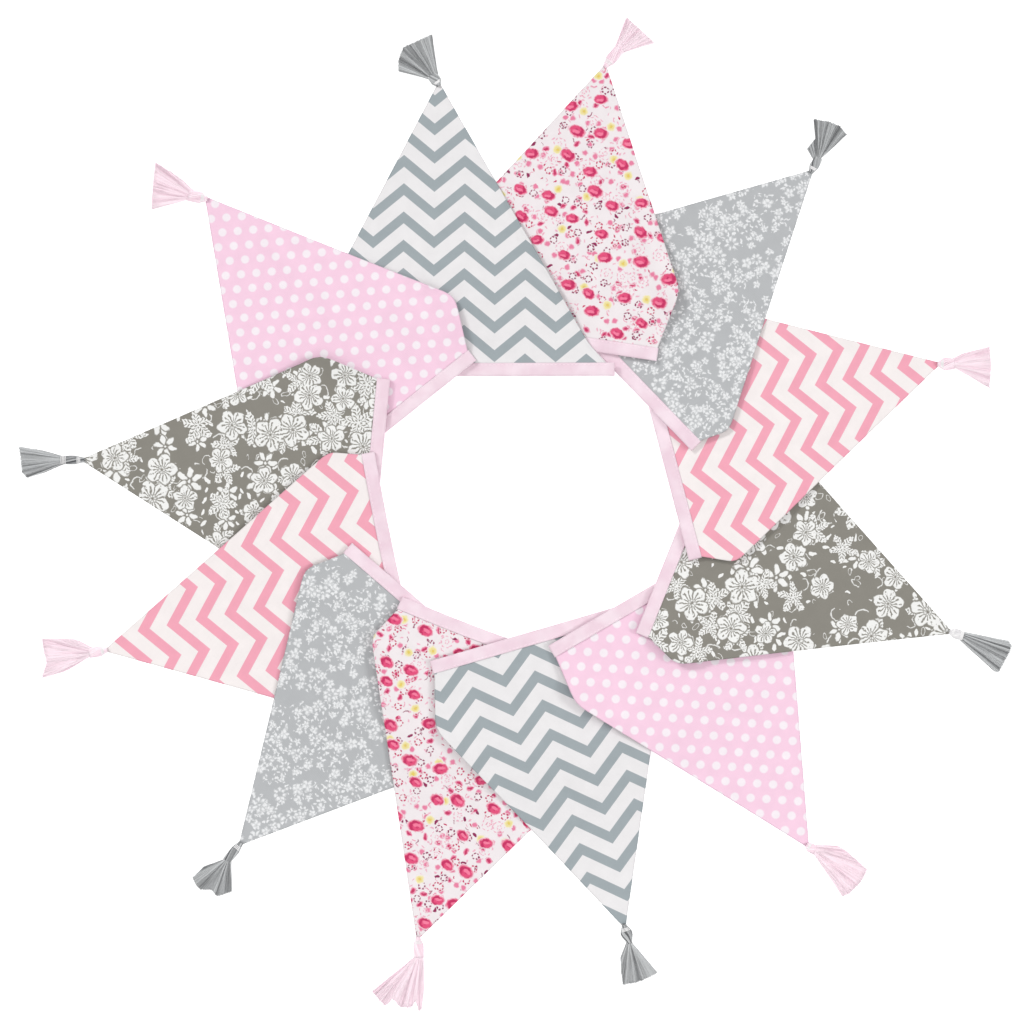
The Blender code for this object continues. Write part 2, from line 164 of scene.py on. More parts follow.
# Soft creases, ridges and lifted edges: the pennant, a line on it, height and half width in mm
Crease = namedtuple("Crease", "number from_x from_y to_x to_y height width")
CREASES = [Crease(*row) for row in (
    (0, 520, 185, 577, 302, 5.0, 11),
    (0, 470, 345, 500, 362, -1.6, 6),
    (0, 392, 300, 420, 352, 1.2, 9),
    (0, 470, 150, 486, 250, 0.7, 10),
    (1, 640, 208, 679, 304, 5.8, 13),
    (1, 590, 150, 612, 250, 0.8, 10),
    (2, 690, 340, 745, 300, 0.9, 9),
    (2, 680, 400, 716, 372, -1.0, 6),
    (3, 820, 350, 835, 420, 0.9, 9),
    (3, 700, 480, 760, 510, 1.0, 9),
    (4, 760, 520, 800, 610, 1.0, 10),
    (4, 651, 640, 690, 664, 5.2, 10),
    (5, 702, 640, 686, 735, 1.5, 9),
    (5, 742, 690, 776, 770, 1.1, 9),
    (5, 574, 694, 616, 738, 5.5, 10),
    (6, 446, 742, 486, 796, 4.5, 9),
    (6, 560, 720, 590, 800, 0.9, 10),
    (7, 366, 640, 372, 700, 4.0, 9),
    (7, 420, 760, 440, 850, 0.9, 10),
    (8, 330, 640, 300, 700, 0.9, 10),
    (9, 250, 600, 285, 590, 1.4, 5),
    (9, 300, 540, 270, 640, 0.9, 9),
    (10, 290, 420, 250, 480, 0.9, 10),
    (10, 312, 352, 368, 370, 5.2, 10),
    (11, 270, 241, 338, 322, 1.7, 8),
    (11, 305, 250, 322, 330, -1.0, 5),
    (11, 380, 292, 420, 330, 1.3, 9),
    (11, 438, 284, 462, 330, 3.2, 9),
)]


def linear(hex_colour):
    """An sRGB colour, such as "f1efef", as linear red, green, blue and 1."""
    parts = [int(hex_colour[n : n + 2], 16) / 255 for n in (0, 2, 4)]
    return (*(p / 12.92 if p <= 0.04045 else ((p + 0.055) / 1.055) ** 2.4 for p in parts), 1.0)


def placed(x, y):
    """A place in the layout, in mm from the middle of the outline."""
    return ((x - OUTLINE_MIDDLE[0]) * UNIT, (OUTLINE_MIDDLE[1] - y) * UNIT)


def heading(degrees):
    """The direction that many degrees clockwise from the right, as the layout gives it."""
    return (math.cos(math.radians(degrees)), -math.sin(math.radians(degrees)))


def moved(point, direction, distance):
    return (point[0] + direction[0] * distance, point[1] + direction[1] * distance)


def gone_along(start, direction, point):
    """How far a point lies from a start, measured along a direction."""
    return (point[0] - start[0]) * direction[0] + (point[1] - start[1]) * direction[1]


def between(first, second, share):
    return tuple(a + (b - a) * share for a, b in zip(first, second))


def unit_vector(first, second):
    length = math.dist(first, second)
    return ((second[0] - first[0]) / length, (second[1] - first[1]) / length)


def right_of(direction):
    return (direction[1], -direction[0])


def ease(value, low, high):
    share = min(max((value - low) / (high - low), 0.0), 1.0)
    return share * share * (3 - 2 * share)


RING = placed(*RING_MIDDLE)


def cloth_height(level, point):
    """The height of the cloth's middle on a level of the pinwheel, as in the frame."""
    out = math.dist(point, RING)
    angle = math.degrees(math.atan2(point[1] - RING[1], point[0] - RING[0]))
    past = (FIRST_ANGLE - level * TURN - angle + 180) % 360 - 180
    reach = REACH_INNER + (REACH_OUTER - REACH_INNER) * ease(out, REACH_FULL_WITHIN, REACH_LEAST_BEYOND)
    climb = (past + reach) / TURN
    climb = (climb + math.hypot(climb, SOFTNESS)) / 2
    step = STEP * (1 - ease(out, STEP_FULL_WITHIN, STEP_GONE_BEYOND))
    rest = BOUND_REST + (FLAT_REST - BOUND_REST) * ease(out, REST_FULL_WITHIN, REST_FLAT_BEYOND)
    return rest + step * climb


def wave(number, point):
    """The broad unevenness of a pennant, as in the frame."""
    out = math.dist(point, RING)
    where = ease(out, STEP_FULL_WITHIN, REST_FULL_WITHIN + 10) - ease(out, 220.0, 290.0)
    turn = 2 * math.pi * (point[0] * math.cos(number) + point[1] * math.sin(number))
    return WAVE_HEIGHT * where * (1 + math.sin(turn / WAVE_LENGTH + number)) / 2


class TapeRun:
    """The stretch of tape along one pennant, slightly bowed outwards where the tape is."""

    def __init__(self, pennant):
        self.start = placed(pennant.start_x, pennant.start_y)
        self.end = placed(pennant.end_x, pennant.end_y)
        self.bow = pennant.bow * UNIT
        self.chord = unit_vector(self.start, self.end)
        self.length = math.dist(self.start, self.end)

    def at(self, distance):
        share = distance / self.length
        bowed = -4 * self.bow * share * (1 - share)
        return moved(between(self.start, self.end, share), right_of(self.chord), bowed)

    def direction(self, distance):
        share = distance / self.length
        slope = -4 * self.bow * (1 - 2 * share) / self.length
        across = right_of(self.chord)
        return unit_vector(
            (0.0, 0.0), (self.chord[0] + across[0] * slope, self.chord[1] + across[1] * slope)
        )

    def beside(self, distance, offset):
        return moved(self.at(distance), right_of(self.direction(distance)), offset)


RUNS = [TapeRun(pennant) for pennant in PENNANTS]


def put(name, data):
    """A new object at the origin that shows a mesh, a lamp or a camera."""
    thing = bpy.data.objects.new(name, data)
    bpy.context.scene.collection.objects.link(thing)
    return thing


def new_piece(name, material, points, faces, uvs=None):
    """A mesh piece at the origin from points in mm, with a UV map in metres named cloth."""
    mesh = bpy.data.meshes.new(name)
    mesh.from_pydata([[value * METRES for value in point] for point in points], [], faces)
    if uvs:
        layer = mesh.uv_layers.new(name="cloth")
        for loop in mesh.loops:
            u, v = uvs[loop.vertex_index]
            layer.data[loop.index].uv = (u * METRES, v * METRES)
    sides = bmesh.new()
    sides.from_mesh(mesh)
    bmesh.ops.recalc_face_normals(sides, faces=sides.faces)
    sides.to_mesh(mesh)
    sides.free()
    mesh.materials.append(material)
    mesh.shade_smooth()
    return put(name, mesh)


def sheet_faces(rows, columns):
    """The faces of a thin sheet: its upper points row by row, then the same from below."""
    under = rows * columns
    faces = []
    for r in range(rows - 1):
        for c in range(columns - 1):
            a, b = r * columns + c, r * columns + c + 1
            faces.append((a, b, b + columns, a + columns))
            faces.append((under + a, under + a + columns, under + b + columns, under + b))
    rim = list(range(columns)) + [r * columns + columns - 1 for r in range(1, rows)]
    rim += [under - 2 - c for c in range(columns - 1)]
    rim += [r * columns for r in range(rows - 2, 0, -1)]
    return faces + [(a, under + a, under + b, b) for a, b in zip(rim, rim[1:] + rim[:1])]


def ring_faces(first, rings, sides, closed=False):
    """The faces of a skin over rings of points, its two ends shut unless it closes on itself."""
    faces = []
    for n in range(rings if closed else rings - 1):
        here, there = first + n * sides, first + (n + 1) % rings * sides
        for k in range(sides):
            following = (k + 1) % sides
            faces.append((here + k, here + following, there + following, there + k))
    if not closed:
        last = first + (rings - 1) * sides
        faces += [tuple(range(first, first + sides))[::-1], tuple(range(last, last + sides))]
    return faces


def keep(piece, name, values):
    """Keeps a number for each vertex under a name that a material reads."""
    kept = piece.data.attributes.new(name, "FLOAT", "POINT")
    for n, value in enumerate(values):
        kept.data[n].value = value


# Shader trees


def add(tree, kind, inputs=(), **settings):
    """Adds a node with its settings, each input linked from a socket or set to a value, given
    in order or by name. A short kind is a shader node's. Returns the node's first output."""
    node = tree.nodes.new(kind if "Node" in kind else f"ShaderNode{kind}")
    for name, value in settings.items():
        setattr(node, name, value)
    for key, value in inputs.items() if isinstance(inputs, dict) else enumerate(inputs):
        if isinstance(value, bpy.types.NodeSocket):
            tree.links.new(value, node.inputs[key])
        else:
            node.inputs[key].default_value = value
    return node.outputs[0] if node.outputs else None


def new_material(name, roughness, sheen=0.0):
    """A material whose shader has the constant values set, and its tree."""
    material = bpy.data.materials.new(name)
    material.use_nodes = True
    tree = material.node_tree
    shader = tree.nodes["Principled BSDF"]
    shader.inputs["Roughness"].default_value = roughness
    shader.inputs["IOR"].default_value = 1.46
    shader.inputs["Specular IOR Level"].default_value = 0.25
    shader.inputs["Sheen Weight"].default_value = sheen
    shader.inputs["Sheen Roughness"].default_value = 0.6
    return material, tree, shader


def cloth_place(tree):
    """The place on the cloth in mm, from its own UV map."""
    uv = add(tree, "UVMap", uv_map="cloth")
    return add(tree, "VectorMath", (uv, (1000.0,) * 3), operation="MULTIPLY")


def inside(tree, distance, softness=0.3):
    """1 where distance is below zero and 0 above, with a soft edge, in mm."""
    return add(tree, "MapRange", (distance, softness, -softness, 0.0, 1.0))


def over(tree, below, above, mask):
    """The colour above laid over the colour below where the mask is."""
    return add(tree, "Mix", {0: mask, 6: below, 7: above}, data_type="RGBA").node.outputs[2]


def both(tree, first, second):
    """1 where two masks are both 1."""
    return add(tree, "Math", (first, second), operation="MULTIPLY")


def unsteady(tree, place, reach, size):
    """The place pushed about at random by up to a reach, so that motifs look drawn by hand."""
    drift = add(
        tree, "TexNoise", {"Vector": place, "Scale": 1 / size, "Detail": 2.0}, noise_dimensions="2D"
    ).node.outputs[1]
    drift = add(tree, "VectorMath", (drift, (0.5,) * 3), operation="SUBTRACT")
    return add(tree, "VectorMath", (drift, (2 * reach, 2 * reach, 0.0), place), operation="MULTIPLY_ADD")


def scattered(tree, place, pitch, looseness, shift):
    """A motif's own axes in mm, turned at random, at places about a pitch apart, and three
    random numbers for each motif."""
    scaled = add(
        tree, "VectorMath", (place, (1 / pitch,) * 3, (shift, shift * 0.7, 0.0)), operation="MULTIPLY_ADD"
    )
    cells = add(
        tree,
        "TexVoronoi",
        {"Vector": scaled, "Scale": 1.0, "Randomness": looseness},
        voronoi_dimensions="2D",
    ).node.outputs
    away = add(tree, "VectorMath", (scaled, cells["Position"]), operation="SUBTRACT")
    away = add(tree, "VectorMath", (away, (pitch,) * 3), operation="MULTIPLY")
    numbers = add(tree, "SeparateColor", (cells["Color"],)).node.outputs
    turn = add(tree, "Math", (numbers[0], 2 * math.pi), operation="MULTIPLY")
    axes = add(tree, "VectorRotate", {"Vector": away, "Angle": turn}, rotation_type="Z_AXIS")
    return axes, away, numbers


def radius_and_angle(tree, axes):
    radius = add(tree, "VectorMath", (axes,), operation="LENGTH").node.outputs["Value"]
    parts = add(tree, "SeparateXYZ", (axes,)).node.outputs
    angle = add(tree, "Math", (parts[1], parts[0]), operation="ARCTAN2")
    return radius, angle


def lobed(tree, axes, radius, lobes, depth, stretch=1.0):
    """Distance outside a blob with round lobes, such as a rose, in mm."""
    wide = add(tree, "VectorMath", (axes, (1.0, stretch, 0.0)), operation="MULTIPLY")
    out, angle = radius_and_angle(tree, wide)
    turned = add(tree, "Math", (angle, float(lobes)), operation="MULTIPLY")
    swell = add(tree, "Math", (turned,), operation="COSINE")
    rim = add(tree, "Math", (swell, radius * depth, radius), operation="MULTIPLY_ADD")
    return add(tree, "Math", (out, rim), operation="SUBTRACT")


def petal_ring(tree, axes, petals, ring, length, width):
    """Distance outside a ring of separate oval petals, in mm."""
    out, angle = radius_and_angle(tree, axes)
    share = math.pi / petals
    folded = add(tree, "Math", (angle, share, -share), operation="WRAP")
    cosine = add(tree, "Math", (folded,), operation="COSINE")
    sine = add(tree, "Math", (folded,), operation="SINE")
    across = add(tree, "Math", (out, sine), operation="MULTIPLY")
    along = add(tree, "Math", (out, cosine), operation="MULTIPLY")
    along = add(tree, "Math", (along, 2 / length, -2 * ring / length), operation="MULTIPLY_ADD")
    across = add(tree, "Math", (across, 2 / width), operation="MULTIPLY")
    spot = add(tree, "CombineXYZ", (along, across))
    far = add(tree, "VectorMath", (spot,), operation="LENGTH").node.outputs["Value"]
    return add(tree, "Math", (far, width / 2, -width / 2), operation="MULTIPLY_ADD")


def chosen(tree, number, low, high):
    """1 for the motifs whose random number lies between low and high."""
    above = add(tree, "Math", (number, low), operation="GREATER_THAN")
    below = add(tree, "Math", (number, high), operation="LESS_THAN")
    return both(tree, above, below)


def sized(tree, axes, number, small, large):
    """The motif's axes drawn larger or smaller at random, between two factors."""
    size = add(tree, "MapRange", (number, 0.0, 1.0, 1 / small, 1 / large))
    return add(tree, "VectorMath", {0: axes, "Scale": size}, operation="SCALE")


def curl(tree, axes, radius, width, reach):
    """Distance outside a thin arc that spans a reach to each side of its middle, in mm."""
    out, angle = radius_and_angle(tree, axes)
    away = outline(tree, add(tree, "Math", (out, radius), operation="SUBTRACT"), width)
    turned = add(tree, "Math", (angle,), operation="ABSOLUTE")
    past = add(tree, "Math", (turned, radius, -radius * reach), operation="MULTIPLY_ADD")
    return add(tree, "Math", (away, past), operation="MAXIMUM")


def outline(tree, distance, width):
    """Distance outside a drawn line along a shape's edge, in mm."""
    away = add(tree, "Math", (distance,), operation="ABSOLUTE")
    return add(tree, "Math", (away, width / 2), operation="SUBTRACT")


def patches(tree, place, size, level):
    """1 in soft patches about a size across, 0 between them."""
    field = add(
        tree, "TexNoise", {"Vector": place, "Scale": 1 / size, "Detail": 1.0}, noise_dimensions="2D"
    )
    return add(tree, "Math", (field, level), operation="GREATER_THAN")


def printed(tree, below, ground, motif, distance, mask, margin, softness=0.3):
    """A motif over the print below it, with a bare margin of ground around it, in mm."""
    away = add(tree, "Math", (distance, margin), operation="SUBTRACT")
    cleared = over(tree, below, ground, both(tree, inside(tree, away), mask))
    return over(tree, cleared, motif, both(tree, inside(tree, distance, softness), mask))


def painted_edge_shade(tree, colour):
    """Painted shade: the print darkened over the cloth's last millimetre, where the cloth rolls down
    under its seam and turns from the light.
    """
    away = add(tree, "Attribute", attribute_name="from_edge").node.outputs["Fac"]
    tone = add(tree, "MapRange", (away, 0.0, 1.0, 0.8, 1.0))
    return add(tree, "VectorMath", {0: colour, "Scale": tone}, operation="SCALE")


def woven(tree, shader, place, colour, thread=0.9, depth=0.12):
    """Plain weave. Real threads are about 0.35 mm apart, too fine to show, so they are drawn
    wider. The weave also mottles the print a little, as dye takes unevenly."""
    bumps = []
    for direction in ("X", "Y"):
        bands = add(
            tree,
            "TexWave",
            {"Vector": place, "Scale": 0.314 / thread, "Distortion": 1.2, "Detail Scale": 1.5},
            bands_direction=direction,
        ).node.outputs[1]
        bumps.append(bands)
    height = add(tree, "Math", (bumps[0], bumps[1]), operation="ADD")
    soft = add(tree, "TexNoise", {"Vector": place, "Scale": 0.09, "Detail": 3.0})
    shade = add(tree, "MapRange", (soft, 0.3, 0.7, 0.955, 1.0))
    grain = add(tree, "MapRange", (height, 0.0, 2.0, 0.96, 1.0))
    tone = add(tree, "Math", (shade, grain), operation="MULTIPLY")
    shaded = add(tree, "VectorMath", {0: colour, "Scale": tone}, operation="SCALE")
    bump = add(tree, "Bump", {"Height": height, "Strength": 0.35, "Distance": depth * METRES})
    tree.links.new(shaded, shader.inputs["Base Color"])
    tree.links.new(bump, shader.inputs["Normal"])


class PrintedCotton:
    """A print on plain cotton: motifs laid over one another in layers on its ground. The place
    on it may be pushed about, by up to a reach, so that the motifs look drawn by hand."""

    def __init__(self, name, ground, reach=0.0, size=1.0):
        self.material, self.tree, self.shader = new_material(name, 0.92, 0.1)
        self.cloth = cloth_place(self.tree)
        self.place = unsteady(self.tree, self.cloth, reach, size) if reach else self.cloth
        self.ground = self.colour = linear(ground)

    def scatter(self, pitch, looseness, shift, smallest=1.0, largest=1.0, by=2):
        """Begins a new scatter of motifs: their axes in mm and three random numbers each."""
        fresh = scattered(self.tree, self.place, pitch, looseness, shift)
        self.axes, self.upright, self.number = fresh
        if smallest < largest:
            self.axes = sized(self.tree, self.axes, self.number[by], smallest, largest)

    def grown(self, low, high):
        """1 for the motifs of this scatter that a share of the random numbers picks."""
        return chosen(self.tree, self.number[1], low, high)

    def lay(self, ink, distance, mask, margin=0.0, softness=0.3, ground=None):
        """Prints a motif, with a bare margin of ground round it."""
        ground = ground or self.ground
        self.colour = printed(self.tree, self.colour, ground, ink, distance, mask, margin, softness)

    def blob(self, *shape):
        return lobed(self.tree, self.axes, *shape)

    def petals(self, *shape):
        return petal_ring(self.tree, self.axes, *shape)

    def stalk(self, *shape):
        return curl(self.tree, self.axes, *shape)

    def finished(self):
        # The weave is laid over the print, with painted shade along the cloth's edges.
        woven(self.tree, self.shader, self.cloth, painted_edge_shade(self.tree, self.colour))
        return self.material


def chevron_print(name, ground, stripe):
    """Printed cotton poplin: crisp matt zigzag stripes in rows along the pennant's top edge."""
    period, half_wave, rise, share = 21.5, 23.1, 19.1, 0.42
    cotton = PrintedCotton(name, ground)
    tree = cotton.tree
    parts = add(tree, "SeparateXYZ", (cotton.place,)).node.outputs
    zigzag = add(tree, "Math", (parts[0], half_wave), operation="PINGPONG")
    row = add(tree, "Math", (zigzag, rise / half_wave, parts[1]), operation="MULTIPLY_ADD")
    row = add(tree, "Math", (row, period), operation="FLOORED_MODULO")
    middle = add(tree, "Math", (row, share * period / 2), operation="SUBTRACT")
    edge = outline(tree, middle, share * period)
    cotton.colour = over(tree, cotton.ground, linear(stripe), inside(tree, edge, 0.25))
    return cotton.finished()


def dots_print():
    """Printed cotton poplin: near-white dots in staggered rows on candy pink."""
    column, pitch, radius = 9.9, 13.8, 3.2
    cotton = PrintedCotton("printed_cotton_dots", "f1cbdf")
    tree = cotton.tree
    masks = []
    for shift in ((0.0, 0.0, 0.0), (column, pitch / 2, 0.0)):
        moved_place = add(tree, "VectorMath", (cotton.place, shift), operation="ADD")
        cell = add(
            tree,
            "VectorMath",
            (moved_place, (column, pitch / 2, 1.0), (-column, -pitch / 2, -1.0)),
            operation="WRAP",
        )
        masks.append(inside(tree, lobed(tree, cell, radius, 1, 0.0), 0.5))
    mask = add(tree, "Math", (masks[0], masks[1]), operation="MAXIMUM")
    cotton.colour = over(tree, cotton.ground, linear("f1e8ee"), mask)
    return cotton.finished()


def ditsy_print():
    """Printed cotton poplin: small crimson roses, ring flowers, yellow buds and leaves."""
    cotton = PrintedCotton("printed_cotton_ditsy", "eae3e5", 1.0, 2.6)
    tree, grown, lay = cotton.tree, cotton.grown, cotton.lay
    pink, pale, crimson, wine = (linear(h) for h in ("e27f9f", "e6aabd", "c23a63", "8f2c58"))
    cotton.scatter(5.2, 0.95, 7.7)
    fleck = cotton.blob(1.25, 1, 0.2, 2.4)
    lay(pale, fleck, grown(0.0, 0.3), 0.2, 0.5)
    lay(crimson, fleck, grown(0.3, 0.38), 0.2)
    for pitch, shift, ink, share in ((13.0, 3.1, pink, 0.6), (11.0, 8.3, wine, 0.34)):
        cotton.scatter(pitch, 0.85, shift, 0.6, 1.2, by=0)
        lay(ink, cotton.stalk(3.4, 0.75, 0.75), grown(0.0, share), 0.3)
    cotton.scatter(8.0, 0.85, 5.2)
    lay(pink, cotton.blob(2.0, 1, 0.0), grown(0.0, 0.3), 0.5, 0.6)
    lay(wine, cotton.blob(2.2, 1, 0.12, 2.1), grown(0.3, 0.4), 0.4)
    tulip = grown(0.4, 0.56)
    lay(pink, cotton.blob(2.9, 1, 0.25, 1.6), tulip, 0.4, 0.6)
    lay(crimson, cotton.blob(2.0, 1, 0.3, 2.3), tulip, ground=pink)
    cotton.scatter(11.0, 0.8, 9.4)
    ring = cotton.petals(6, 2.4, 1.15, 1.8)
    lay(wine, ring, grown(0.0, 0.28), 0.5)
    lay(crimson, ring, grown(0.28, 0.54), 0.5)
    wide = grown(0.54, 0.74)
    lay(pale, cotton.petals(8, 4.4, 0.9, 2.2), wide, 0.4)
    lay(pale, cotton.petals(5, 1.5, 0.9, 1.2), wide)
    cotton.scatter(31.0, 0.8, 2.9)
    everywhere = grown(-1.0, 2.0)
    lay(linear("eadf9c"), cotton.blob(3.0, 1, 0.0), everywhere, 1.0, 0.7)
    lay(linear("e0c862"), cotton.blob(1.6, 1, 0.0), everywhere, 0.0, 0.7)
    cotton.scatter(22.8, 0.6, 0.0)
    lean = add(tree, "MapRange", (cotton.number[2], 0.0, 1.0, -0.45, 0.35))
    leaning = {"Vector": cotton.upright, "Angle": lean}
    axes = add(tree, "VectorRotate", leaning, rotation_type="Z_AXIS")
    cotton.axes = axes = sized(tree, axes, cotton.number[0], 0.88, 1.12)
    petals = linear("de4e79")
    lay(linear("e98aa8"), cotton.blob(5.9, 1, 0.05, 1.4), everywhere, 0.6, 0.6)
    core = cotton.blob(5.3, 1, 0.05, 1.4)
    lay(petals, core, everywhere, 0.0, 0.6)
    out, angle = radius_and_angle(tree, axes)
    swirl = add(tree, "Math", (out, 1.35, angle), operation="MULTIPLY_ADD")
    swirl = add(tree, "Math", (swirl,), operation="SINE")
    torn = add(tree, "TexNoise", {"Vector": cotton.cloth, "Scale": 0.4})
    swirl = add(tree, "Math", (torn, 3.6, swirl), operation="MULTIPLY_ADD")
    swirl = add(tree, "Math", (swirl, 1.7), operation="SUBTRACT")
    shade = both(tree, inside(tree, swirl, 0.6), inside(tree, core))
    cotton.colour = over(tree, cotton.colour, linear("c03060"), shade)
    light = add(tree, "VectorMath", (axes, (0.5, -0.5, 0.0)), operation="ADD")
    lay(linear("ee7c9c"), lobed(tree, light, 2.3, 2, 0.2, 1.7), everywhere, 0.0, 0.6, petals)
    return cotton.finished()


def sprig_print():
    """Printed cotton poplin: small white sprigs and daisies in loose clusters on grey."""
    cotton = PrintedCotton("printed_cotton_sprig", "b3b5b7", 1.5, 2.4)
    tree, white = cotton.tree, linear("e6e7e8")
    crowded = patches(tree, cotton.cloth, 24.0, 0.46)
    for pitch, shift, size, share in ((3.6, 4.0, 0.95, 0.6), (5.0, 7.7, 1.45, 0.72)):
        cotton.scatter(pitch, 0.95, shift)
        leaf = both(tree, inside(tree, cotton.blob(size, 1, 0.15, 1.8), 0.55), cotton.grown(0.0, share))
        cotton.colour = over(tree, cotton.colour, white, both(tree, leaf, crowded))
    cotton.scatter(12.0, 0.9, 12.0, 0.6, 1.2, by=0)
    cotton.lay(white, cotton.stalk(5.0, 1.0, 0.5), cotton.grown(0.0, 0.6), 0.4, 0.4)
    cotton.scatter(8.4, 0.9, 2.2, 0.8, 1.35)
    cotton.lay(white, cotton.petals(5, 1.85, 2.7, 1.9), cotton.grown(0.0, 0.6), 0.5, 0.5)
    cotton.scatter(17.0, 0.8, 6.6, 0.7, 1.15)
    cotton.lay(white, cotton.petals(7, 3.7, 3.2, 2.1), cotton.grown(0.0, 0.6), 0.6, 0.5)
    return cotton.finished()


def floral_print():
    """Printed cotton poplin: white blossoms, daisies and line-drawn leaves on taupe."""
    cotton = PrintedCotton("printed_cotton_floral", "87847c", 1.5, 5.0)
    tree, grown, lay, white = cotton.tree, cotton.grown, cotton.lay, linear("ececea")
    cotton.scatter(22.0, 0.9, 11.0, 0.7, 1.2)
    lay(white, cotton.stalk(5.5, 0.75, 1.6), grown(0.0, 0.9), 0.3)
    cotton.scatter(8.6, 0.9, 3.3, 0.6, 1.15)
    crowded = patches(tree, cotton.cloth, 40.0, 0.37)
    lay(white, cotton.blob(3.1, 1, 0.15, 2.2), both(tree, grown(0.0, 0.46), crowded), 0.5)
    drawn = outline(tree, cotton.blob(3.4, 1, 0.15, 1.9), 0.7)
    lay(white, drawn, both(tree, grown(0.46, 0.75), crowded), 0.4)
    cotton.scatter(27.0, 0.8, 6.1, 0.75, 1.15)
    daisies = grown(0.0, 0.6)
    lay(white, cotton.petals(6, 6.3, 7.6, 4.0), daisies, 0.8)
    lay(white, cotton.blob(1.2, 1, 0.0), daisies)
    add_veined_leaves(cotton, white)
    cotton.scatter(27.0, 0.55, 0.4, 0.78, 1.4)
    blossom, blossoms = cotton.petals(5, 5.8, 9.6, 7.9), grown(0.0, 0.78)
    lay(white, blossom, blossoms, 0.8)
    out, angle = radius_and_angle(tree, cotton.axes)
    torn = add(tree, "TexNoise", {"Vector": cotton.cloth, "Scale": 0.42})
    reach = add(tree, "Math", (torn, 16.5, -1.0), operation="MULTIPLY_ADD")
    near = add(tree, "Math", (out, reach), operation="SUBTRACT")
    lines = add(tree, "Math", (angle, 15.0), operation="MULTIPLY")
    lines = add(tree, "Math", (lines,), operation="COSINE")
    thin = add(tree, "Math", (lines, 0.3), operation="ADD")
    strokes = both(tree, inside(tree, near, 0.8), inside(tree, thin, 0.5))
    strokes = both(tree, strokes, both(tree, inside(tree, blossom), blossoms))
    cotton.colour = over(tree, cotton.colour, cotton.ground, strokes)
    lay(white, cotton.petals(7, 1.7, 1.4, 1.0), blossoms, 0.4)
    return cotton.finished()


def add_veined_leaves(cotton, white):
    """Five-pointed leaves with toothed edges, drawn in strokes that lean along each rib."""
    tree = cotton.tree
    cotton.scatter(25.0, 0.7, 8.8, 0.85, 1.15)
    grown = cotton.grown(0.0, 0.64)
    out, angle = radius_and_angle(tree, cotton.axes)
    turned = add(tree, "Math", (angle, 2.5), operation="MULTIPLY")
    turned = add(tree, "Math", (turned,), operation="SINE")
    off_rib = add(tree, "Math", (turned,), operation="ABSOLUTE")
    veins = add(tree, "Math", (off_rib, -4.6, out), operation="MULTIPLY_ADD")
    veins = add(tree, "Math", (veins, 1.9), operation="MULTIPLY")
    veins = add(tree, "Math", (veins,), operation="SINE")
    teeth = (veins, 0.6, cotton.blob(8.8, 5, 0.42))
    edge = add(tree, "Math", teeth, operation="MULTIPLY_ADD")
    cotton.lay(white, edge, grown, 0.6)
    gaps = add(tree, "Math", (0.2, veins), operation="SUBTRACT")
    inner = both(tree, inside(tree, add(tree, "Math", (edge, 0.9), operation="ADD")), grown)
    cotton.colour = over(tree, cotton.colour, cotton.ground, both(tree, inside(tree, gaps, 0.5), inner))
    rib = add(tree, "Math", (off_rib, out), operation="MULTIPLY")
    rib = add(tree, "Math", (rib, 0.75), operation="SUBTRACT")
    cotton.colour = over(tree, cotton.colour, white, both(tree, inside(tree, rib), inner))


def tape_material():
    """Soft cotton binding, pressed into a fold: plain, matt and slightly mottled."""
    material, tree, shader = new_material("cotton_binding_pale_pink", 0.9, 0.15)
    place = cloth_place(tree)
    shade = add(tree, "TexNoise", {"Vector": place, "Scale": 0.06, "Detail": 2.0})
    shade = add(tree, "MapRange", (shade, 0.35, 0.65, 0.0, 1.0))
    colour = over(tree, linear("e9cfdb"), linear("f0dde6"), shade)
    woven(tree, shader, place, colour, thread=0.8)
    return material


def strand_material(name, light, dark):
    """Loose cotton embroidery thread: soft and matt, each strand a slightly other shade at random. The
    tone kept on each vertex mixes the dark and light colours; on a tassel it also holds painted shade and
    light: darker in the fan's folds and in the fan under the loose strands, lighter on the ridges.
    """
    material, tree, shader = new_material(name, 0.95, 0.25)
    tone = add(tree, "Attribute", attribute_name="tone").node.outputs["Fac"]
    place = add(tree, "TexCoord").node.outputs["Object"]
    fine = add(tree, "TexNoise", {"Vector": place, "Scale": 900.0, "Detail": 2.0})
    blend = add(tree, "Math", (fine, 0.35, tone), operation="MULTIPLY_ADD")
    colour = over(tree, linear(dark), linear(light), blend)
    bump = add(tree, "Bump", {"Height": fine, "Strength": 0.3, "Distance": 0.1 * METRES})
    tree.links.new(colour, shader.inputs["Base Color"])
    tree.links.new(bump, shader.inputs["Normal"])
    return material


PRINTS = {
    "chevron_grey": chevron_print("printed_cotton_chevron_grey", "e5e3e4", "9ca5a9"),
    "chevron_pink": chevron_print("printed_cotton_chevron_pink", "efe8e7", "eda3b5"),
    "dots_pink": dots_print(),
    "ditsy_pink": ditsy_print(),
    "sprig_grey": sprig_print(),
    "floral_taupe": floral_print(),
}
TAPE = tape_material()
STRANDS = {
    "grey": strand_material("cotton_strands_grey", "c8cacb", "4a4b4e"),
    "pink": strand_material("cotton_strands_pink", "faeaf1", "ecd0dc"),
    "white": strand_material("cotton_thread_white", "efeeee", "d9d7d9"),
}


# Pennants


def across_places(width):
    """Places across a row, from 0 to its width, closer together at both edges."""
    edge = [distance * min(1.0, width / 24) for distance in (0.0, 0.35, 0.9, 1.7, 3.0, 5.0)]
    first, last = edge[-1], width - edge[-1]
    middle = [first + (last - first) * n / PLACES_ACROSS for n in range(1, PLACES_ACROSS)]
    return edge + middle + [width - distance for distance in reversed(edge)]


